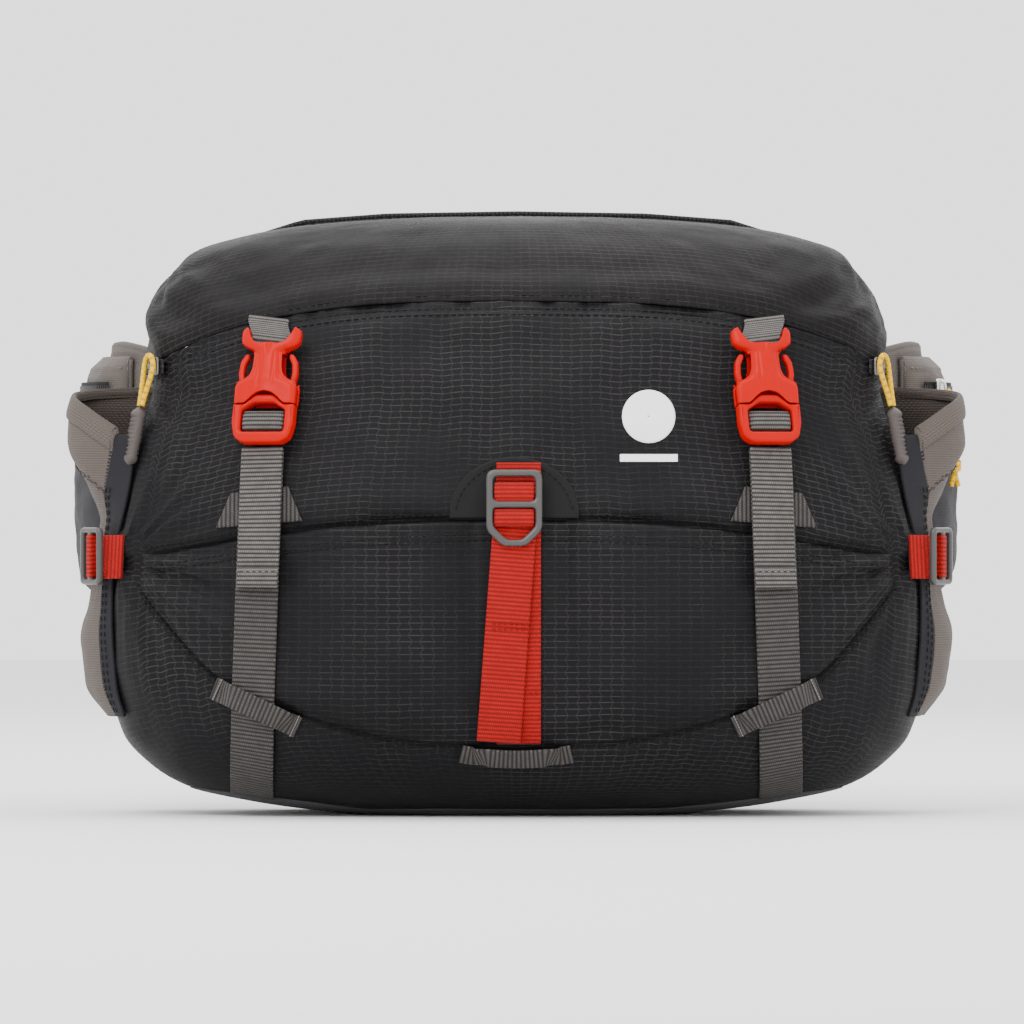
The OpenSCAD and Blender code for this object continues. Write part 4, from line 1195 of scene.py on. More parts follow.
pocket_swell = curve([(45, 2), (60, 9), (80, 10), (104, 4), (132, 4), (150, 14), (170, 26), (198, 27)])
mouth_at = curve([(-48, 152), (-40, 163), (-30, 176), (-18, 186), (-6, 190), (36, 195)])


def side_outward(y, z):
    """The way out of the bag's smooth side."""
    e = 1.5
    gy = (side_x(y + e, z) - side_x(y - e, z)) / (2 * e)
    gz = (side_x(y, z + e) - side_x(y, z - e)) / (2 * e)
    n = np.stack([np.ones_like(gy), -gy, -gz], -1)
    return n / np.linalg.norm(n, axis=-1, keepdims=True)


def side_strap_out(y):
    """How far the side strap stands off the bag: it bridges the pocket."""
    return 3.8 + 4.8 * np.maximum(0, 1 - (np.abs(y + 6) / 50) ** 2.5) ** 0.8


def pocket_wall(y, z, seed, out=0.0):
    """The bottle pocket's surface: it swells above and below the strap and gathers where that pinches it."""
    share = np.maximum(0, 1 - (np.abs(y - BOTTLE_Y) / BOTTLE_HALF) ** 2.5)
    near = np.exp(-(np.abs(z - STRAP_Z) / 26) ** 1.6)
    fold = 1.5 * near * swirl(y / 6.0, z / 60, seed, 2) * bump((np.abs(z - STRAP_Z) - 15) / 16)
    slack = 1.1 * swirl(y / 26, z / 30, seed + 4) + fold
    flare = 7.5 * np.clip((z - 148) / 36, 0, 1) ** 1.5
    p = on_side(y, z, 1.9 + share * (pocket_swell(z) + flare) + out)
    return p + side_outward(y, z) * (slack * share)[..., None]


def bottle_pocket(side):
    """A side pocket: its knit, its slate front edge, a rolled lip and its stitching."""
    name, seed = side_name(side), 2.0 + side
    t = np.linspace(0, 1, 84)[:, None]
    share = np.linspace(0, 1, 56)[None, :]
    z = BOTTLE_FOOT + (mouth_at(KNIT_Y + (POCKET_REAR - KNIT_Y) * share) - BOTTLE_FOOT) * t
    y = knit_from(z) + (POCKET_REAR - knit_from(z)) * share
    hem = bump((z - mouth_at(y) + 4) / 5.0)[..., None] * side_outward(y, z) * 0.9
    grid_piece(name + "_bottle_pocket_knit", pocket_wall(y, z, seed) + hem, "bag", TAUPE,
               name + "_bottle_pocket", side, thick=1.3, uv=np.stack([y * 1.15, z], -1))
    share = np.linspace(0, 1, 18)[None, :]
    z = BOTTLE_FOOT + (mouth_at(KNIT_Y) - 2 - BOTTLE_FOOT) * t + 0 * share
    ahead = EDGE_Y + 3.5 * np.clip((z - 142) / 38, 0, 1) ** 1.4
    y = ahead + (knit_from(z) + 0.8 - ahead) * share
    grid_piece(name + "_bottle_pocket_edge", pocket_wall(y, z, seed), "bag", SLATE, (), side,
               thick=1.3, uv=np.stack([y * 1.15, z], -1))
    y = np.linspace(-30.6, 35, 40)
    fold = ((-9.5, 0.5), (-9, 1.4), (-5, 1.8), (-1, 1.8), (0.9, 1.2), (1.3, 0.2), (0.8, -1.2), (-4, -2))
    p = np.array([pocket_wall(y, mouth_at(y) + dz, seed, lift) for dz, lift in fold])
    uv = np.stack(np.broadcast_arrays(y, np.arange(len(fold))[:, None] * 3.0), -1)
    grid_piece(name + "_pocket_lip", p, "bag", TAUPE, side=side, thick=0.5, smoother=1,
               uv=uv)
    pocket_stitching(side, seed)


def pocket_stitching(side, seed):
    """A zigzag below the mouth, and two rows along the slate edge."""
    name = side_name(side)
    y = np.arange(-28.5, 35, 1.7)
    z = mouth_at(y) - 33 + 1.3 * (-1.0) ** np.arange(len(y))
    stitches(name + "_pocket_zigzag", [pocket_wall(y, z, seed, 0.5)], (1, -0.3, 0), "bag", TAUPE_THREAD,
             2.6, 2.2, 0.6, side)
    z = np.linspace(48, 148, 40)
    rows = [pocket_wall(knit_from(z) - ahead, z, seed, 0.55) for ahead in (1.2, 3.2)]
    stitches(name + "_pocket_seam", rows, (0.6, -0.8, 0), "bag", BLACK_THREAD, 3.4, 2.4, 0.6,
             side)


def side_strap(side):
    """The red strap that pinches the bottle pocket, and its triglide."""
    name, glide = side_name(side), side_name(side) + "_side_glide"
    y = np.linspace(-45, 40, 60)
    z = STRAP_Z + 0.6 * np.sin(y / 17)
    p = on_side(y, z, side_strap_out(y) * np.clip((y + 46) / 5, 0.2, 1) + WEBBING_T / 2)
    band(name + "_side_webbing", p, side_outward(y, z), WEBBING, WEBBING_T, "bag", RED_WEB,
         name + "_side_strap", side)
    at = on_side(SIDE_GLIDE_Y, STRAP_Z, side_strap_out(SIDE_GLIDE_Y) + WEBBING_T)
    a = math.radians(SIDE_GLIDE_TURN)
    turn = np.array([[math.cos(a), -math.sin(a), 0], [math.sin(a), math.cos(a), 0], [0, 0, 1]])
    lay = turn @ np.array([[0, 0, 1], [0, 1, 0], [-1, 0, 0]])
    middle = at + turn @ (0, -3.1, 0)
    ring = both_sides([(13, -9, 3), (13, 9, 3)])
    holes = [box_corners(-10.4, 10.4, lo, hi, 1.2) for lo, hi in ((-6.4, -1.4), (1.4, 6.4))]
    moulding(glide + "_ring", [ring, *holes], 3.0, 1.1, local_frame(middle, lay=lay), glide, GREY_PLASTIC,
             name + "_side_triglide", side)
    sections = [(-9.8, 1.9, 1.2), (-9.2, 2.3, 2.0), (9.2, 2.3, 2.0), (9.8, 1.9, 1.2)]
    lofted(glide + "_webbing", sections, local_frame(middle, lay=turn), glide, RED_WEB, "red_webbing",
           side=side, power=4)


# ---------------------------------------------------------------- hip wings

WING_FROM, WING_TO, WING_END, WING_TIP = -66, 70, 100, np.array((95.0, 187.0))
TIP_OUT = np.array((-math.sin(math.radians(-18.5)), math.cos(math.radians(-18.5))))
HIP_LOW, HIP_HIGH, HIP_FROM, HIP_TO = 96, 211, -42, 58     # the hip pocket on its wing, in mm and degrees
HIP_MID, HIP_HALF = (HIP_FROM + HIP_TO) / 2, (HIP_TO - HIP_FROM) / 2
wing_low = curve([(-66, 92), (-20, 88), (20, 92), (70, 112), (100, 124)])
wing_high = curve([(-66, 210), (-20, 216), (20, 214), (70, 184), (100, 170)])


def wing_at(a, z, out):
    """The wing's surface: a runs round its curve in degrees and, past WING_TO, straight on to its tip."""
    a, z, out = np.broadcast_arrays(np.asarray(a, float), z, out)
    turn = np.radians(np.minimum(a, WING_TO))
    way = np.stack([np.cos(turn), np.sin(turn)], -1)
    base = np.array(WING_C) + WING_R * way
    t = np.clip((a - WING_TO) / (WING_END - WING_TO), 0, 1)[..., None]
    base = base + t * (WING_TIP - base)
    way = way + np.clip(t * 2, 0, 1) * (TIP_OUT - way)
    flat = base + out[..., None] * way
    return np.stack([flat[..., 0], flat[..., 1], z], -1)


def wing_outward(q):
    """The way out of the wing's curve at a point."""
    way = np.array((q[0] - WING_C[0], q[1] - WING_C[1], 0.0))
    return way / np.linalg.norm(way)


def wings(side):
    """A hip wing's cloth, the foam behind it and the binding round its edge."""
    name, body = side_name(side), side_name(side) + "_wing"
    v = np.linspace(0, 1, 50)[:, None]
    a = np.linspace(WING_FROM, WING_END, 70)[None, :]
    low, high = wing_low(a), wing_high(a)
    z = low + (high - low) * v
    edge = np.minimum(v, 1 - v) * 110
    out = 4.9 - 1.9 * bump(edge / 9) + 0.35 * swirl(a / 18, z / 30, 7.0 + side) * np.minimum(1, edge / 10)
    u = np.broadcast_to(a * 0.9, z.shape)
    grid_piece(name + "_wing_cloth", wing_at(a, z, out), body, WING, name + "_wing_cover",
               side, thick=1.4, uv=np.stack([u, z], -1))
    wing_pad(side, a, low, high)
    root_z = np.linspace(wing_low(WING_FROM), wing_high(WING_FROM), 40)
    for part, along, z in (("low", a[0], low[0]), ("high", a[0], high[0]), ("root", WING_FROM, root_z)):
        binding = tube_mesh("binding", wing_at(along, z, 0.8), 2.3, 8, side)
        add(f"{name}_wing_binding_{part}", binding, body, WING)


def wing_pad(side, a, low, high):
    """The wing's foam: a flat pillow with three pressed channels, made of rings round its section."""
    name = side_name(side)
    ring = np.linspace(0, 2 * math.pi, 60, endpoint=False)
    c, s = np.cos(ring)[:, None], np.sin(ring)[:, None]
    reach = np.sign(c) * np.abs(c) ** 0.35
    z = (low + high) / 2 + reach * (high - low - 1) / 2
    thick = -0.6 + np.sign(s) * np.abs(s) ** 0.5 * 3.2
    channels = 1.3 * bump((z - 150) / 7) + 0.9 * bump((z - 118) / 6) + 0.9 * bump((z - 182) / 6)
    p = wing_at(a, z, thick + np.where(s < 0, channels, 0)).transpose(1, 0, 2)
    uv = np.stack([z.T, np.broadcast_to(a.T * 0.9, p.shape[:2])], -1)
    pad = grid_piece(name + "_wing_pad", p, name + "_wing", WING_INSIDE, name + "_wing_foam",
                     side, uv=uv, closed=True)
    close_ends(pad)
    inflate(pad, 3.0, 0.9,
            lambda p: np.hypot(np.abs(p[:, 0]) - WING_C[0], p[:, 1] - WING_C[1]) > WING_R + 1)


def close_ends(obj):
    """Fills a tube's two open ends."""
    bm = bmesh.new()
    bm.from_mesh(obj.data)
    bmesh.ops.holes_fill(bm, edges=[e for e in bm.edges if e.is_boundary], sides=0)
    bmesh.ops.recalc_face_normals(bm, faces=bm.faces)
    bm.to_mesh(obj.data)
    bm.free()


def hip_puff(a, z):
    """How far the hip pocket swells out of its wing."""
    return hip_puff_at(z) * np.maximum(0, 1 - (np.abs(a - HIP_MID) / HIP_HALF) ** 4) ** 0.6


def hip_pocket(side):
    """A hip pocket's cloth, its piping and two rows of stitches."""
    name, body = side_name(side), side_name(side) + "_wing"
    a, z = np.meshgrid(np.linspace(HIP_FROM, HIP_TO, 76), np.linspace(HIP_LOW, HIP_HIGH, 84))
    edge = np.minimum(np.minimum(z - HIP_LOW, HIP_HIGH - z), np.minimum(a - HIP_FROM, HIP_TO - a)) / 8
    soft = np.clip(edge, 0, 1)
    gather = 0.5 * swirl(a / 5, z / 40, 1.0 + side, 2) * bump(edge / 2.4)
    d = soft * (1.3 * swirl(a / 20, z / 26, 11.0 + side) + gather)
    d = d - 0.8 * bump((z - 203.6) / 1.6) * soft
    d = np.where(np.abs(z - HIP_ZIP_Z) < 5.5, np.minimum(d, 0), d)
    p = wing_at(a, z, WING_FACE + hip_puff(a, z) + d + 1.5)
    cloth = grid_piece(name + "_hip_pocket_cloth", p, body, [HIP, LINING, WING],
                       name + "_hip_pocket", side, thick=1.3, uv=np.stack([a * 1.05, z], -1))
    for face in cloth.data.polygons:                    # the yoke above the zip is the wing's own cloth
        if face.center[2] > HIP_ZIP_Z / 1000 and face.material_index == 0:
            face.material_index = 2
    near, far, low, high = HIP_FROM + 1, HIP_TO - 1, HIP_LOW + 2, HIP_HIGH - 3
    a = np.concatenate([np.full(30, near), np.linspace(near, far, 60), np.full(30, far)])
    z = np.concatenate([np.linspace(high, low, 30), np.full(60, low), np.linspace(low, high, 30)])
    stitches(name + "_hip_pocket_stitches", [wing_at(a, z, WING_FACE + 2.4)], wing_outward, body,
             GREY_THREAD, 3.2, 2.4, 0.6, side)
    a, z = np.append(a, a[0]), np.append(z, z[0])
    line = wing_at(a + 0.4 * np.sign(a - HIP_MID), z + 1.4 * np.sign(z - 150), WING_FACE + 0.9)
    add(name + "_hip_pocket_piping", tube_mesh("piping", line, 1.15, 8, side), body, WING)
    top, top_z = np.linspace(-38, 54, 50), 205.4
    row = wing_at(top, top_z, WING_FACE + 3.0 + 0.55 * hip_puff(top, top_z))
    stitches(name + "_hip_top_stitches", [row], wing_outward, body, GREY_THREAD, 3.2, 2.4, 0.7,
             side)


def beads(name, path, outward, along, across, up, pitch, body, material, side=1):
    """Small rounded bars side by side along a path, such as a zip's coil."""
    q, t = resample(path, pitch)
    points, faces = [], []
    ring = [(-0.5, -0.5), (-0.5, 0.35), (-0.3, 0.5), (0.3, 0.5), (0.5, 0.35), (0.5, -0.5)]
    for c, way in zip(q, t):
        o = np.asarray(outward(c) if callable(outward) else outward, float)
        w = np.cross(way, o)
        w /= np.linalg.norm(w)
        o = np.cross(w, way)
        faces += capped_faces(2, len(ring), len(points))
        for k in (-0.5, 0.5):
            for s, h in ring:
                points.append(c + w * k * across + way * s * along + o * h * up)
    mesh = mesh_of(name, mirrored(points, side), faces, np.zeros((len(points), 2)), flip=side > 0,
                   smooth=False)
    fix_normals(mesh)
    return add(name, mesh, body, material)


def hip_zip(side):
    """A hip pocket's zip and coil, with its slider parked part of the way along."""
    name, body = side_name(side), side_name(side) + "_hip_pull"
    a = np.linspace(-35, 50, 70)
    lie = HIP_ZIP_R - WING_R - 2.8 * np.clip((np.abs(a - 7.5) - 37) / 6, 0, 1) ** 1.5
    for part, dz, node in (("upper", 1.55, name + "_hip_zip"), ("lower", -1.55, ())):
        p = wing_at(a, HIP_ZIP_Z + dz, lie + 0.5)
        band(f"{name}_hip_zip_{part}", p, [wing_outward(q) for q in p], 2.9, 0.7, name + "_wing", ZIP_TAPE,
             node, side)
    beads(name + "_hip_zip_coil", wing_at(a, HIP_ZIP_Z, lie + 1.0), wing_outward, 0.75, 2.6, 0.9, 1.15,
          name + "_wing", ZIP_TEETH, side)
    r = HIP_ZIP_R + 1.9 + 0.8

    def to(q):
        x, y, z = np.moveaxis(np.asarray(q, float), -1, 0)
        return turned(np.stack([r - y, x, z], -1), HIP_PARK[side], (*WING_C, HIP_ZIP_Z))

    plate = both_sides([(3.0, -4.4, 1.2), (4.0, -1.5, 3), (3.9, 4.4, 1.8)])
    moulding(name + "_hip_slider_body", [plate], 1.6, 0.5, to, body, STEEL,
             name + "_hip_slider", side)
    arch = [(0, -0.6, 3.2), (0, -2.0, 2.6), (0, -2.6, 0.4), (0, -2.4, -1.6), (0, -0.8, -2.8)]
    loop = to(rounded_route(arch, 5))
    add(name + "_hip_slider_bridge", tube_mesh("bridge", loop, 0.75, 8, side), body, STEEL)


def rear_y(x):
    """How far back the lid's rear edge and its zip lie: the corners come forward."""
    return 41.1 - 4.6 * np.clip((np.abs(x) - 112) / 42, 0, 1) ** 1.6


def rear_arc(r, angle, behind=0.0):
    """The rear zip's line at a radius, lying on the lid's rear edge."""
    x = r * np.sin(angle)
    return np.stack([x, rear_y(x) + behind, REAR_Z + r * np.cos(angle)], -1)


SIDE_ZIP_R = 65.95


def out_of_rim(q):
    """The way out of the zip's bend at a point."""
    return np.array((q[0] - RIM_AXIS[0], q[1] - RIM_AXIS[1], 0))


def main_zips():
    """Both halves of the lid's zip: an arc across the rear, and a bend round each side."""
    rear = np.radians(np.linspace(-34.5, 34.5, 110))
    a = np.radians(np.linspace(-31, 6, 50))
    bend = np.stack([np.cos(a), np.sin(a), 0 * a], -1)
    for part, body, r, dz, r_coil in (("lid_zip", "lid", 261.9, 1.75, 260.5),
                                      ("bag_zip", "bag", 258.2, -1.75, 259.6)):
        band(part + "_rear", rear_arc(r, rear), (0, 1, 0), 3.1, 0.9, body, ZIP_TAPE,
             part + "_tape")
        beads(part + "_rear_coil", rear_arc(r_coil, rear, 0.4), (0, 1, 0), 0.8, 0.9, 1.4, 1.3, body,
              ZIP_TEETH)
        for side in (-1, 1):
            name = f"{side_name(side)}_{part}_side"
            path = (*RIM_AXIS, RIM_Z + dz) + SIDE_ZIP_R * bend
            band(name, path, bend, 3.1, 0.9, body, ZIP_TAPE, (), side)
            coil = path + 0.25 * bend - (0, 0, 0.8 * dz)
            beads(name + "_coil", coil, out_of_rim, 0.8, 0.7, 0.9, 1.3, body, ZIP_TEETH, side)


def main_slider(side):
    """A main zip's slider, with the stud that its pull hangs from."""
    name, body = side_name(side), side_name(side) + "_slider"
    y = -(SLIDER_R + 0.85)
    plate = box_corners(-5, 5, -4.4, 4.2, 1.6)
    moulding(name + "_slider_body", [plate], 1.5, 0.5, on_rim, body, ZIP_METAL,
             name + "_main_slider", side, y=y)
    stud = on_rim([(0, y - out, 0) for out in (0, 1.4, 2.4, 2.8)])
    add(name + "_slider_stud", tube_mesh("stud", stud, [1.7, 1.7, 1.7, 1.2], 12, side), body, ZIP_METAL)


# ---------------------------------------------------------------- back, base and belt

PANEL_Y = 53
PANEL_HALF = [(0, 0), (62, 0), (112, 7), (134, 15), (144, 30), (146, 50), (146, 215), (144, 236), (137, 253),
              (125, 265), (100, 273), (60, 276), (0, 277)]


def even_loop(points, n):
    """About n points spaced evenly round an outline of points x, z, in an upright plane."""
    q = np.array([(x, 0.0, z) for x, z in points])
    closed = np.concatenate([q, q[:1]])
    q, _ = resample(closed, run_along(closed)[-1] / n)
    return q[:-1]


def panel_outline(inset, n=150):
    """The back panel's outline, drawn in all round by inset."""
    right = [(max(0, x - inset), z + inset * (1 if z < 138 else -1)) for x, z in PANEL_HALF]
    left = [(-x, z) for x, z in right[1:-1]]
    return even_loop(right[1:-1] + [(0, right[-1][1])] + left[::-1] + [(0, right[0][1])], n)


def rounded_box_outline(cx, cz, w, h, r, n=90):
    return even_loop(outline(box_corners(cx - w / 2, cx + w / 2, cz - h / 2, cz + h / 2, r), 10), n)


def ring_at(loop, y, overlap=1):
    """A closed path round an outline, standing at y."""
    ring = np.concatenate([loop, loop[:overlap]])
    ring[:, 1] = y
    return ring


def cushion(name, loop, faces_y, body, material, stands_for=(), bulge=0.0, edge=1.2, grooves=None):
    """An upright padded or flat piece inside an outline. Its faces stand at faces_y (front, back); edge
    rounds its rim, bulge leans its back face in at the rim, and grooves presses channels into it."""
    middle = loop.mean(0)
    size = np.linalg.norm(loop - middle, axis=-1).mean()
    half, mid = (faces_y[1] - faces_y[0]) / 2, (faces_y[1] + faces_y[0]) / 2
    share = np.concatenate([np.linspace(0.02, 0.86, 26), 1 - 0.14 * (1 - np.linspace(0, 1, 9)[1:]) ** 1.6])
    rings = []
    for face, t in [(1, t) for t in share] + [(-1, t) for t in share[::-1][1:]]:
        p = middle + (loop - middle) * t
        away = (1 - t) * size
        rise = half * min(1.0, math.sqrt(max(0.0, 1 - (1 - min(1, away / edge)) ** 2)) + 0.02)
        p[:, 1] = mid + face * rise
        if face > 0:
            p[:, 1] -= bulge * t ** 2
        if face > 0 and grooves:
            p[:, 1] -= grooves(p[:, 0], p[:, 2]) * min(1, away / 8)
        rings.append(p)
    p = np.array(rings)
    mesh = mesh_of(name, p.reshape(-1, 3), capped_faces(*p.shape[:2]), p[..., [0, 2]].reshape(-1, 2))
    fix_normals(mesh)
    return add(name, mesh, body, material, stands_for)


def back_side():
    """The back panel with its stiffener, cover, binding and stitches."""
    cushion("back_cloth", panel_outline(0.6), (PANEL_Y, PANEL_Y + 2), "bag", BACK_MESH,
            "back_panel")
    cushion("frame_stiffener", panel_outline(9), (PANEL_Y + 2.2, PANEL_Y + 3.6), "bag", STIFFENER,
            "frame_sheet", edge=0.6)
    cushion("back_cover", panel_outline(7.5), (PANEL_Y + 3.65, PANEL_Y + 4.0), "bag", BACK_MESH,
            edge=0.2)
    for part, inset in (("outer", 10.0), ("inner", 13.0)):
        ring = ring_at(panel_outline(inset, 200), PANEL_Y + 4.1)
        stitches(f"back_{part}_stitches", [ring], (0, 1, 0), "bag", GREY_THREAD, 3.4, 2.5, 0.6)
    rim = ring_at(panel_outline(0.4, 200), PANEL_Y + 1.0, 3)
    add("back_binding", tube_mesh("binding", rim, 1.25, 8), "bag", BLACK_WEB)


def back_pads():
    """Three ribbed cushions, each piped round its foot."""
    for part, node, cx, cz, w, h, r in (("lumbar", "back_pads", 0, 52, 244, 60, 26),
                                        ("left", (), -66, 162, 104, 132, 30),
                                        ("right", (), 66, 162, 104, 132, 30)):
        pad = cushion(f"{part}_pad", rounded_box_outline(cx, cz, w, h, r), (PANEL_Y + 4.15, PANEL_Y + 13.6),
                      "bag", PAD_MESH, node, 1.0, 7.5,
                      lambda x, z: 1.8 * bump(((z - cz + 200) % 33 - 16.5) / 3.5))
        inflate(pad, 4.0, 1.3, lambda p: p[:, 1] < PANEL_Y + 6.5)
        ring = ring_at(rounded_box_outline(cx, cz, w + 1.5, h + 1.5, r, 120), PANEL_Y + 4.9, 3)
        add(f"{part}_pad_piping", tube_mesh("piping", ring, 0.9, 8), "bag", BLACK_WEB)


def gusset():
    """The narrow wall of cloth between the bag and the edge of its back panel."""
    x, _, z = ring_at(panel_outline(3.0, 180), 0.0).T
    low = np.clip(z, 3, 272)
    from_y = np.where(low < 200, back(low) - 0.6, rear_y(x) + 1.3)
    rows = [np.stack([x + 0.5 * k * np.sin(z / 3), from_y + (PANEL_Y + 0.1 - from_y) * t, z], -1)
            for t, k in ((0, 0), (0.35, 1), (0.7, 1), (1, 0))]
    grid_piece("back_gusset", np.array(rows), "bag", BLACK_PLAIN, thick=0.8)


def bridge(name, p, uv, material, ends, thick, side=1):
    """Cloth over a grid of points, given a solidify wall thick millimetres deep. It rides on no body, and
    the places worked out from ends are not used."""
    mesh = mesh_of(name, mirrored(p.reshape(-1, 3), side), grid_faces(*p.shape[:2]), uv.reshape(-1, 2),
                   flip=side < 0)
    mesh.materials.append(material)
    obj = link(bpy.data.objects.new(name, mesh))
    start, end = place(mirrored(ends, side))
    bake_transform(obj)
    wall = obj.modifiers.new("wall", "SOLIDIFY")
    wall.thickness, wall.offset = thick / 1000, 0


def wing_hinge(side):
    """The folded cloth that joins a wing to the back panel."""
    name, rows = side_name(side), 40
    t = np.linspace(0, 1, 14)[None, :]
    v = np.linspace(0, 1, rows)[:, None]
    root = wing_at(WING_FROM, np.linspace(93, 209, rows), 0.8)
    start = np.stack([np.full(rows, 143.0), np.full(rows, PANEL_Y + 2.6), np.linspace(92, 210, rows)], -1)
    p = start[:, None] * (1 - t[..., None]) + root[:, None] * t[..., None]
    sag = (2.4 + 0.5 * np.sin(v * 40)) * np.sin(math.pi * t)
    p = p + np.array((0.82, -0.57, 0)) * sag[..., None]
    uv = np.stack(np.broadcast_arrays(20 * t, 110 * v), -1)
    bridge(name + "_wing_hinge", p, uv, WING,
           [(146, PANEL_Y + 4, 150), (157.5, 71, 150)], 1.6, side)


def lid_hinge():
    """Cloth behind the front seam that joins the lid to the bag."""
    rows, cols = 12, 90
    x = np.linspace(-118, 118, cols)[None, :] + np.zeros((rows, 1))
    z = front_seam(x) - 9 + 14 * np.linspace(0, 1, rows)[:, None]
    y = float(front_y(0.0, 227.0))
    bridge("lid_hinge", on_front(x, z, -2.8), np.stack([x, z], -1), BLACK_PLAIN,
           [(0, y, 225.0), (0, y, 228.5)], 0.8)


def inflate(obj, pressure, reach, pinned):
    """Fills a closed cushion with air as cloth: pinned says which points of it are sewn down. No point
    moves further than reach, in millimetres."""
    remesh = obj.modifiers.new("remesh", "REMESH")
    remesh.mode, remesh.voxel_size, remesh.use_smooth_shade = "VOXEL", 0.005, True
    graph = bpy.context.evaluated_depsgraph_get()
    mesh = bpy.data.meshes.new_from_object(obj.evaluated_get(graph))
    obj.modifiers.clear()
    obj.data = mesh
    at = np.array([v.co for v in mesh.vertices])
    group = obj.vertex_groups.new(name="sewn")
    group.add([int(k) for k in np.flatnonzero(pinned(at * 1000 + (0, PACK_MID_Y, 0)))], 1.0, "REPLACE")
    cloth = obj.modifiers.new("air", "CLOTH")
    cloth.settings.use_pressure = True
    cloth.settings.uniform_pressure_force = pressure
    cloth.settings.effector_weights.gravity = 0
    cloth.settings.vertex_group_mass = "sewn"
    cloth.settings.tension_stiffness = cloth.settings.compression_stiffness = 25
    cloth.point_cache.frame_start, cloth.point_cache.frame_end = 1, 20
    for k in range(1, 21):
        bpy.context.scene.frame_set(k)
    graph = bpy.context.evaluated_depsgraph_get()
    blown = np.array([v.co for v in obj.evaluated_get(graph).data.vertices])
    move = blown - at
    far = np.linalg.norm(move, axis=-1, keepdims=True)
    move = move * np.minimum(1, reach / 1000 / np.maximum(far, 1e-9))
    obj.modifiers.clear()
    bpy.context.scene.frame_set(1)
    mesh.vertices.foreach_set("co", (at + move).ravel().astype(np.float32))
    mesh.update()
    layer = mesh.uv_layers.get("cloth") or mesh.uv_layers.new(name="cloth")
    loops = np.zeros(len(mesh.loops), np.int32)
    mesh.loops.foreach_get("vertex_index", loops)
    along = np.hypot(at[:, 0], at[:, 1]) if abs(at[:, 0].mean()) > 0.1 else at[:, 0]
    layer.data.foreach_set("uv", np.stack([along, at[:, 2]], -1)[loops].ravel().astype(np.float32))
    sub = obj.modifiers.new("smoother", "SUBSURF")
    sub.levels = sub.render_levels = 1


HANDLE_Z = 252


def handle():
    """The haul handle: a bowed band sewn down at both ends."""
    x = np.linspace(-54.5, 54.5, 70)
    y = PANEL_Y + 4.9 + 15.6 * np.maximum(0, 1 - (np.abs(x) / 55) ** 2.5) ** 0.7
    band("haul_webbing", np.stack([x, y, HANDLE_Z + 0 * x], -1), (0, 1, 0), WEBBING, 1.6, "bag", BLACK_WEB,
         "haul_handle", crown=0.4)
    for k in (-1, 1):
        x = k * np.linspace(42, 56, 10)
        tack = np.stack([x, PANEL_Y + 4.6 + 0 * x, HANDLE_Z + 0 * x], -1)
        band(f"haul_tack_{'ab'[k > 0]}", tack, (0, 1, 0), WEBBING, 0.8, "bag", BLACK_WEB)
        rows = [[(k * 52.5 + s, PANEL_Y + 6.4, z) for s in (-1.6, 1.6)] for z in np.linspace(244, 260, 9)]
        stitches(f"haul_bartack_{'ab'[k > 0]}", rows, (0, 1, 0), "bag", GREY_THREAD, 1.6,
                 1.6, 0.6)


def base():
    """The base's cloth, which wraps up a little further at the sides."""
    u, _ = columns_round(200)
    rise = 3.4 + 9.0 * np.clip((np.abs(np.cos(u)) - 0.55) / 0.4, 0, 1)
    t = np.linspace(0, 1, 16)
    z = 0.9 + (rise[None, :] - 0.9) * t[:, None]
    p = bag_point(np.broadcast_to(u, z.shape), z)
    n = grid_normals(p, True)
    p = p + n * 0.4
    middle = np.array((0, -2, 0.5))
    caps = [middle + (p[:1] - middle) * (k, k, 1) for k in (0.05, 0.35, 0.7, 0.93)]
    q = np.concatenate([*caps, p])
    q[:4, :, 2] = [[0.5], [0.5], [0.55], [0.7]]
    grid_piece("base_cloth", q, "bag", BASE, "base_panel", thick=1.0, uv=q[..., :2],
               closed=True)


BELT_Y, BELT_Z, BELT_K, TIP_X, FEMALE_X, MALE_X = 187, 148, 1.25, 92.8, -15.5, -59.5


def belt():
    """The belt's buckle, stored open across the wings' tips, and its webbing."""
    lay = np.array([[0, 0, 1], [0, -1, 0], [1, 0, 0]], float)
    to_female, to_male = (local_frame((x, BELT_Y, BELT_Z), scale=BELT_K, lay=lay)
                          for x in (FEMALE_X, MALE_X))
    bodies = ("right_wing", "belt_clip", "belt_upper_arm", "belt_lower_arm")
    nodes = ("belt_buckle_female", "belt_buckle_male", "belt_upper_prong", "belt_lower_prong")
    buckle("belt_buckle", to_female, to_male, bodies, BLACK_PLASTIC, nodes, 1,
           (BLACK_WEB, "black_webbing"))
    for name, x0, x1, y, body, node in (
            ("belt_left_band", -TIP_X, MALE_X + 14, 182.15, "left_wing", "left_belt_webbing"),
            ("belt_tail_band", 0.8 - TIP_X, MALE_X + 13.4, 179.65, "belt_clip", "belt_webbing_tail"),
            ("belt_right_band", FEMALE_X + 53 * BELT_K, TIP_X, 187.0, "right_wing", "right_belt_webbing")):
        x = np.linspace(x0, x1, 30)
        p = np.stack([x, y + 0 * x, BELT_Z + 0 * x], -1)
        band(name, p, (0, 1, 0), BELT_WEBBING, WEBBING_T, body, BLACK_WEB, node)


# ---------------------------------------------------------------- seams and prints

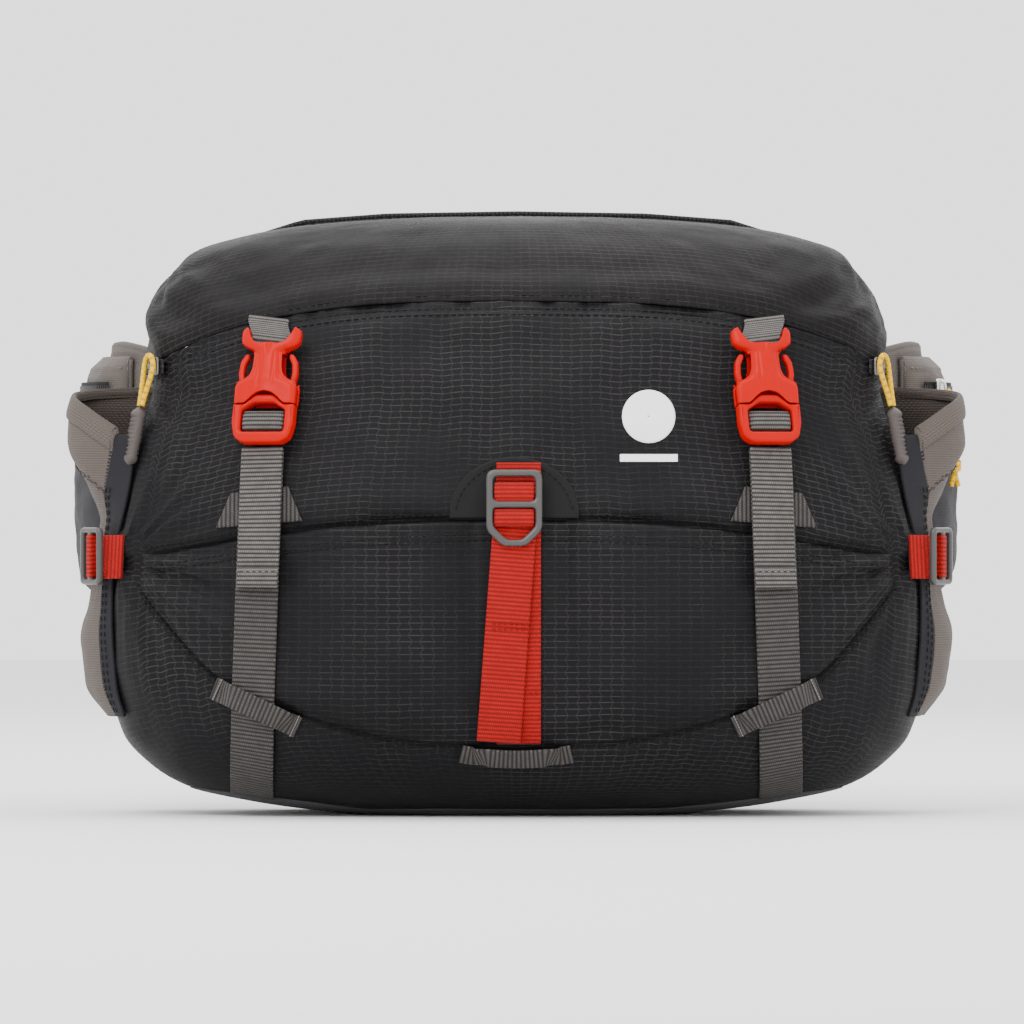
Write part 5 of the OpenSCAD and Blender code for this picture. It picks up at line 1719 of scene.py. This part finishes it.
def cloth_finder(*objs):
    """A function giving the outermost point of the cloth straight in front at each x, z, lifted off it."""
    trees = [BVHTree.FromPolygons([v.co for v in o.data.vertices],
                                  [tuple(f.vertices) for f in o.data.polygons]) for o in objs]

    def at(x, z, lift=0.3):
        x, z = np.broadcast_arrays(np.asarray(x, float), np.asarray(z, float))
        out = []
        for a, b in zip(x.ravel(), z.ravel()):
            best = None
            start = place((a, -200, b))
            for tree in trees:
                hit = tree.ray_cast(Vector(start), Vector((0, 1, 0)))[0]
                if hit is not None and (best is None or hit.y < best):
                    best = hit.y
            y = front_y(a, b) if best is None else best * 1000 + PACK_MID_Y
            out.append((a, y - lift, b))
        return np.array(out).reshape(*x.shape, 3)
    return at


def front_seams(on_cloth):
    """Rows of stitches beside the three seams, each at its distances above its seam."""
    x = np.linspace(-168, 168, 150)
    for name, seam, rows in (("mid_seam_stitches", mid_seam, (2.6, -6.2, -8.8)),
                             ("lid_seam_stitches", front_seam, (-3.0, -5.6)),
                             ("foot_seam_stitches", foot_seam, (-2.4, -5.0))):
        stitches(name, [on_cloth(x, seam(x) + up, 0.2) for up in rows], (0, -1, 0), "bag", BLACK_THREAD,
                 3.4, 2.5, 0.6)


def white_mark(on_cloth):
    """A plain printed disc over a bar: a generic mark with no lettering."""
    cx, cz, r = 59.5, 181, 12.0
    turn = np.linspace(0, 2 * math.pi, 48, endpoint=False)
    rr = np.linspace(0.02, 1, 12)[:, None] * r
    x, z = cx + rr * np.cos(turn), cz + rr * np.sin(turn)
    grid_piece("white_disc", on_cloth(x, z, 0.22), "bag", PRINT, thick=0.06, closed=True,
               uv=np.stack([x, z], -1))
    x, z = np.meshgrid(np.linspace(cx - 13, cx + 13, 40), np.linspace(160.6, 164.0, 6))
    grid_piece("white_bar", on_cloth(x, z, 0.22), "bag", PRINT, thick=0.06, uv=np.stack([x, z], -1))


def lid_seams():
    """Two rows of stitches along the lid's front edge."""
    x = np.linspace(-150, 150, 120)
    lines = [on_front(x, front_seam(x) + up, 0.9) for up in (3.2, 5.6)]
    stitches("lid_edge_stitches", lines, (0, -1, 0), "lid", BLACK_THREAD, 3.4, 2.5, 0.6)


bag_cloth = bag_body()
lid_cloth = lid()
pocket_cloth = front_pocket()
on_cloth = cloth_finder(bag_cloth, pocket_cloth)
front_seams(on_cloth)
lid_seams()
white_mark(on_cloth)
arched_patch()
middle_strap()
keepers()
main_zips()
for side in (-1, 1):
    front_buckle(side)
    front_straps(side)
    bottle_pocket(side)
    side_strap(side)
    wings(side)
    hip_pocket(side)
    hip_zip(side)
    main_slider(side)
back_side()
back_pads()
gusset()
wing_hinge(-1)
wing_hinge(1)
lid_hinge()
handle()
base()
belt()
